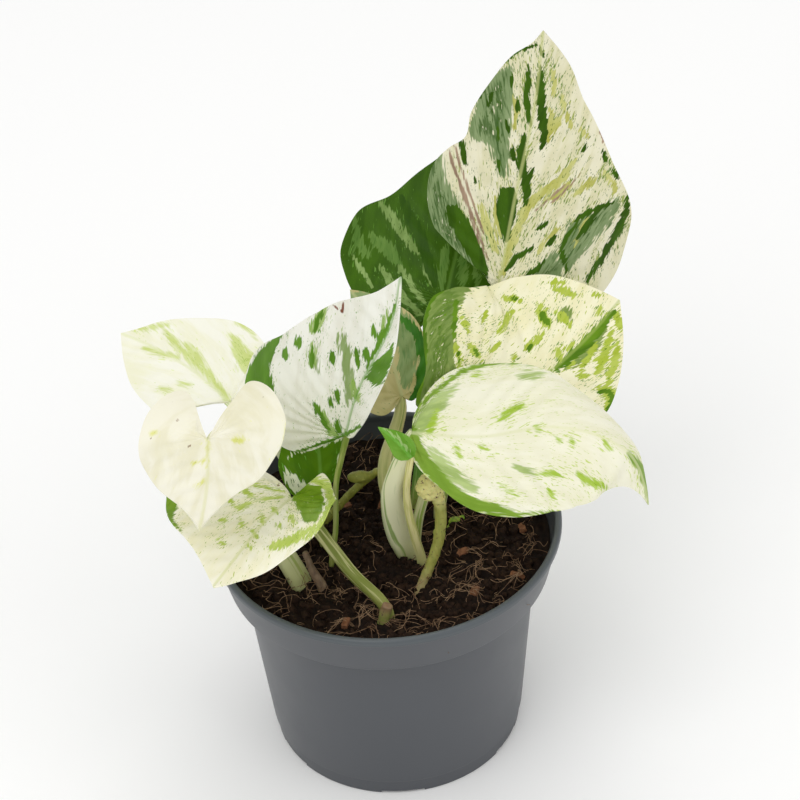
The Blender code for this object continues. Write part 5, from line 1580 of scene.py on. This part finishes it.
# %% The body of soil
peat = peat_finish("damp_peat", ("#0d0805", "#281a12"), size=2.2)
edge_radius = collar_inside(SOIL_LEVEL) - GAP
top = soil_grid(np.linspace(0, edge_radius, SOIL_RINGS), SOIL_STEPS)
shelf = shelf_top + GAP
turns = np.linspace(0, 2 * np.pi, SOIL_STEPS + 1)
below = np.array([[(r * math.cos(a), r * math.sin(a), z) for a in turns] for r, z in (
    (collar_inside(shelf) - GAP, shelf), (body_inside(shelf) - GAP, shelf),
    (body_inside(FLOOR_TOP) - GAP, FLOOR_TOP + GAP), (0, FLOOR_TOP + GAP))])
soil_shell = Shell()
soil_points = np.concatenate([top, below])
soil_shell.grid(soil_points, np.zeros(soil_points.shape[:2] + (2,)), 0, False)
soil_mesh = soil_shell.mesh("soil")
soil_mesh.materials.append(peat)
add_piece("fine_soil", soil_mesh, ["soil"])


# %% [markdown]
# Crumbs and root fibres lie on the peat by the hundred, so Geometry Nodes scatter them. A tree takes a
# surface, spreads points over it with a fixed seed, puts a body on each at a random turn and size, and
# ends in plain meshes with their finish, because instances don't survive an export. A Random Value node
# has sockets of one name for vectors and for numbers, so those have a number here too.

# %% Running a tree on the soil's surface
VECTOR_MIN, VECTOR_MAX, NUMBER_MIN, NUMBER_MAX = 0, 1, 2, 3
RANDOM_NUMBER = 1
FULL_TURN = 6.3
DISC_RINGS = 40
DISC_STEPS = 90


def new_tree(name, inputs, output):
    """A tree with its named inputs and output, and the sockets that give what comes in."""
    tree = bpy.data.node_groups.new(name, "GeometryNodeTree")
    for socket, kind in inputs.items():
        tree.interface.new_socket(socket, in_out="INPUT", socket_type="NodeSocket" + kind)
    tree.interface.new_socket(output, in_out="OUTPUT", socket_type="NodeSocketGeometry")
    return tree, add(tree, "NodeGroupInput").outputs


def spread(tree, given, density, body, turns, sizes, seeds):
    """Copies of a body on random points of the surface, each at a random turn and size."""
    points = add(tree, "GeometryNodeDistributePointsOnFaces",
                 {"Mesh": given["Surface"], "Density": density, "Seed": given["Seed"]})
    turn = add(tree, "FunctionNodeRandomValue",
               {VECTOR_MIN: turns[0], VECTOR_MAX: turns[1], "Seed": seeds[0]}, data_type="FLOAT_VECTOR")
    size = add(tree, "FunctionNodeRandomValue",
               {NUMBER_MIN: sizes[0], NUMBER_MAX: sizes[1], "Seed": seeds[1]})
    placed = add(tree, "GeometryNodeInstanceOnPoints",
                 {"Points": points, "Instance": body, "Rotation": turn, "Scale": size.outputs[RANDOM_NUMBER]})
    return add(tree, "GeometryNodeRealizeInstances", {0: placed})


def scatter_surface(name):
    """A disc of the soil's surface that ends short of the pot."""
    shell = Shell()
    points = soil_grid(np.linspace(0, SCATTER_RADIUS, DISC_RINGS), DISC_STEPS)
    shell.grid(points, np.zeros(points.shape[:2] + (2,)), 0, False)
    return shell.mesh(name)


def scatter_result(name, tree, values):
    """Runs a tree on a disc of soil and returns the plain mesh; values are given by socket name."""
    thing = bpy.data.objects.new(name + "_worked", scatter_surface(name + "_surface"))
    bpy.context.scene.collection.objects.link(thing)
    modifier = thing.modifiers.new("scatter", "NODES")
    modifier.node_group = tree
    for item in tree.interface.items_tree:
        if item.in_out == "INPUT" and item.name in values:
            modifier[item.identifier] = values[item.name]
    mesh = evaluated_copy(thing)
    bpy.data.objects.remove(thing)
    return mesh


# %% Scattering crumbs
CRUMB_FINENESS = 2
CRUMB_LUMPS = 1.3
CRUMB_DETAIL = 2.0
CRUMB_ROUGHNESS = 1.6
NOISE_MIDDLE = (0.5, 0.5, 0.5)
CRUMB_SEEDS = (3, 4)


def crumb_tree():
    """Points on a surface, each with a rough crumb at a random turn and size."""
    tree, given = new_tree("scattered_crumbs", {
        "Surface": "Geometry", "Crumbs per square metre": "Float", "Smallest": "Float", "Largest": "Float",
        "Seed": "Int", "Finish": "Material"}, "Crumbs")
    ball = add(tree, "GeometryNodeMeshIcoSphere", {"Radius": 1.0, "Subdivisions": CRUMB_FINENESS})
    rough = add(tree, "ShaderNodeTexNoise", {"Scale": CRUMB_LUMPS, "Detail": CRUMB_DETAIL})
    push = add(tree, "ShaderNodeVectorMath", {0: rough.outputs["Color"], 1: NOISE_MIDDLE},
               operation="SUBTRACT")
    pushed = add(tree, "ShaderNodeVectorMath", {0: push, "Scale": CRUMB_ROUGHNESS}, operation="SCALE")
    crumb = add(tree, "GeometryNodeSetPosition", {"Geometry": ball, "Offset": pushed})
    turns = [(0, 0, 0), (FULL_TURN, FULL_TURN, FULL_TURN)]
    plain = spread(tree, given, given["Crumbs per square metre"], crumb, turns,
                   (given["Smallest"], given["Largest"]), CRUMB_SEEDS)
    finished = add(tree, "GeometryNodeSetMaterial", {"Geometry": plain, "Material": given["Finish"]})
    add(tree, "NodeGroupOutput", {0: finished})
    return tree


crumb_finish = peat_finish("peat_crumbs", ("#120b07", "#38261a"), size=1.5)
crumbs = scatter_result("crumb", crumb_tree(), {
    "Crumbs per square metre": 150000.0, "Smallest": 0.35 * MM, "Largest": 1.8 * MM, "Seed": 5,
    "Finish": crumb_finish})
add_piece("peat_crumbs", crumbs)


# %% [markdown]
# The root fibres: thin tan threads that lie on the peat and dip into it, thickest near the front and the
# right. A straight thread of a few points is put on each scattered point, bent by a noise that changes
# from place to place, so no two are alike, and then given its round section.

# %% Scattering root fibres
BARE_REACH = (20.0, 52.0)
FIBRE_CROWDING = (0.3, 1.9)
FIBRE_POINTS = 14
FIBRE_SIDES = 5
FIBRE_TILT = 0.25
FIBRE_WANDER = 140.0
WANDER_DETAIL = 1.0
WANDER_MIDDLE = (0.5, 0.5, 0.42)
FIBRE_SEEDS = (8, 9)


def fibre_tree():
    """Points on a surface, each with a thread that a noise bends."""
    tree, given = new_tree("scattered_fibres", {
        "Surface": "Geometry", "Bare place": "Vector", "Fibres per square metre": "Float",
        "Shortest": "Float", "Longest": "Float", "Thickness": "Float", "Bend": "Float", "Seed": "Int",
        "Finish": "Material"}, "Fibres")
    here = add(tree, "GeometryNodeInputPosition")
    away = add(tree, "ShaderNodeVectorMath", {0: here, 1: given["Bare place"]}, operation="DISTANCE")
    gathered = add(tree, "ShaderNodeMapRange",
                   {"Value": away.outputs["Value"], "From Min": BARE_REACH[0] * MM,
                    "From Max": BARE_REACH[1] * MM, "To Min": FIBRE_CROWDING[0], "To Max": FIBRE_CROWDING[1]})
    density = add(tree, "ShaderNodeMath", {0: gathered, 1: given["Fibres per square metre"]},
                  operation="MULTIPLY")
    line = add(tree, "GeometryNodeCurvePrimitiveLine", {"Start": (-0.5, 0, 0), "End": (0.5, 0, 0)})
    dense = add(tree, "GeometryNodeResampleCurve", {"Curve": line, "Count": FIBRE_POINTS})
    turns = [(-FIBRE_TILT, -FIBRE_TILT, 0), (FIBRE_TILT, FIBRE_TILT, FULL_TURN)]
    plain = spread(tree, given, density, dense, turns, (given["Shortest"], given["Longest"]), FIBRE_SEEDS)
    wander = add(tree, "ShaderNodeTexNoise", {"Scale": FIBRE_WANDER, "Detail": WANDER_DETAIL})
    centred = add(tree, "ShaderNodeVectorMath", {0: wander.outputs["Color"], 1: WANDER_MIDDLE},
                  operation="SUBTRACT")
    offset = add(tree, "ShaderNodeVectorMath", {0: centred, "Scale": given["Bend"]}, operation="SCALE")
    bent = add(tree, "GeometryNodeSetPosition", {"Geometry": plain, "Offset": offset})
    ring = add(tree, "GeometryNodeCurvePrimitiveCircle",
               {"Resolution": FIBRE_SIDES, "Radius": given["Thickness"]})
    solid = add(tree, "GeometryNodeCurveToMesh", {"Curve": bent, "Profile Curve": ring, "Fill Caps": True})
    finished = add(tree, "GeometryNodeSetMaterial", {"Geometry": solid, "Material": given["Finish"]})
    add(tree, "NodeGroupOutput", {0: finished})
    return tree


fibre_finish = peat_finish("root_fibres", ("#6a4f3c", "#ae9072"), size=6.0)
fibres = scatter_result("fibre", fibre_tree(), {
    "Bare place": (-0.012, 0.008, 0.079), "Fibres per square metre": 42000.0, "Shortest": 3.0 * MM,
    "Longest": 16.0 * MM, "Thickness": 0.085 * MM, "Bend": 16.0 * MM, "Seed": 21, "Finish": fibre_finish})
add_piece("root_fibres", fibres)


# %% [markdown]
# Bark chips lie half sunk in the peat, at the places that the solid has them: three that the photograph
# shows, and nine more at places drawn with the same seed. Each is a split and weathered flake.

# %% Places of the bark chips
CHIP_SIZE = (5.0, 2.6, 1.8)
CHIP_SPREAD = (0.85, 1.2)
CHIP_TILT = 0.25
CHIP_RISE = 0.3
CHIP_FIELD = 50.0
CHIP_INNER_SHARE = 0.05
CHIPS_APART = 9.0
CHIP_TO_STEM = 8.0
SHOWN_CHIPS = ((-51.0, -14.0, 20.0), (-43.0, -13.0, -35.0), (-15.0, -42.0, 70.0))
MORE_CHIPS = 9


def chip_places():
    """Place and turn of every chip, clear of every stem."""
    draw = np.random.default_rng(SEED + 1)
    feet = [leaf["stalk"][0] for leaf in LEAVES.values()] + [stem["path"][0] for stem in STEMS.values()]
    places = list(SHOWN_CHIPS)
    while len(places) < len(SHOWN_CHIPS) + MORE_CHIPS:
        radius = CHIP_FIELD * math.sqrt(draw.uniform(CHIP_INNER_SHARE, 1))
        turn = draw.uniform(0, 2 * math.pi)
        x, y = radius * math.cos(turn), radius * math.sin(turn)
        apart = [math.hypot(x - other[0], y - other[1]) for other in places]
        clear = [math.hypot(x - foot[0], y - foot[1]) for foot in feet]
        if min(apart) > CHIPS_APART and min(clear) > CHIP_TO_STEM:
            places.append((x, y, math.degrees(draw.uniform(0, math.pi))))
    return places, draw


places, draw = chip_places()
print("chips:", len(places))


# %% Bark chips
CHIP_CUTS = 5
CHIP_LIFT = 0.5
CHIP_ROUNDING = 0.22
CHIP_BELLY = 0.5
CHIP_GRAIN = 3.1
CHIP_NOISE_STEP = 7.3
CHIP_ROUGHNESS = 0.16

chip_shape = bmesh.new()
for k, (x, y, turn) in enumerate(places):
    height = SOIL_LEVEL + float(soil_relief(np.array(x), np.array(y)))
    tilt = draw.uniform(-CHIP_TILT, CHIP_TILT, 2)
    sides = [side * MM * draw.uniform(*CHIP_SPREAD) for side in CHIP_SIZE]
    flake = bmesh.new()
    bmesh.ops.create_cube(flake, size=1.0)
    bmesh.ops.subdivide_edges(flake, edges=flake.edges, cuts=CHIP_CUTS, use_grid_fill=True)
    for vertex in flake.verts:
        corner = 1 - CHIP_ROUNDING * (abs(vertex.co.x) + abs(vertex.co.y)) * (CHIP_BELLY + abs(vertex.co.z))
        rough = noise.fractal(vertex.co * CHIP_GRAIN + Vector((k * CHIP_NOISE_STEP, 0, 0)), *BARK_NOISE)
        vertex.co *= corner * (1 + CHIP_ROUGHNESS * rough)
    turned = Matrix.Identity(4)
    for angle, axis in ((math.radians(turn), "Z"), (tilt[1], "Y"), (tilt[0], "X")):
        turned = turned @ Matrix.Rotation(angle, 4, axis)
    place = Matrix.Translation((x * MM, y * MM, (height + CHIP_RISE + CHIP_LIFT) * MM))
    bmesh.ops.transform(flake, matrix=place @ turned @ Matrix.Diagonal((*sides, 1.0)), verts=flake.verts)
    flake_mesh = bpy.data.meshes.new("flake")
    flake.to_mesh(flake_mesh)
    flake.free()
    chip_shape.from_mesh(flake_mesh)
    bpy.data.meshes.remove(flake_mesh)
chips = bpy.data.meshes.new("bark_chips")
chip_shape.to_mesh(chips)
chip_shape.free()
chips.materials.append(peat_finish("weathered_bark", ("#5f3c28", "#8f6448"), size=1.8))
add_piece("bark_chips", chips)
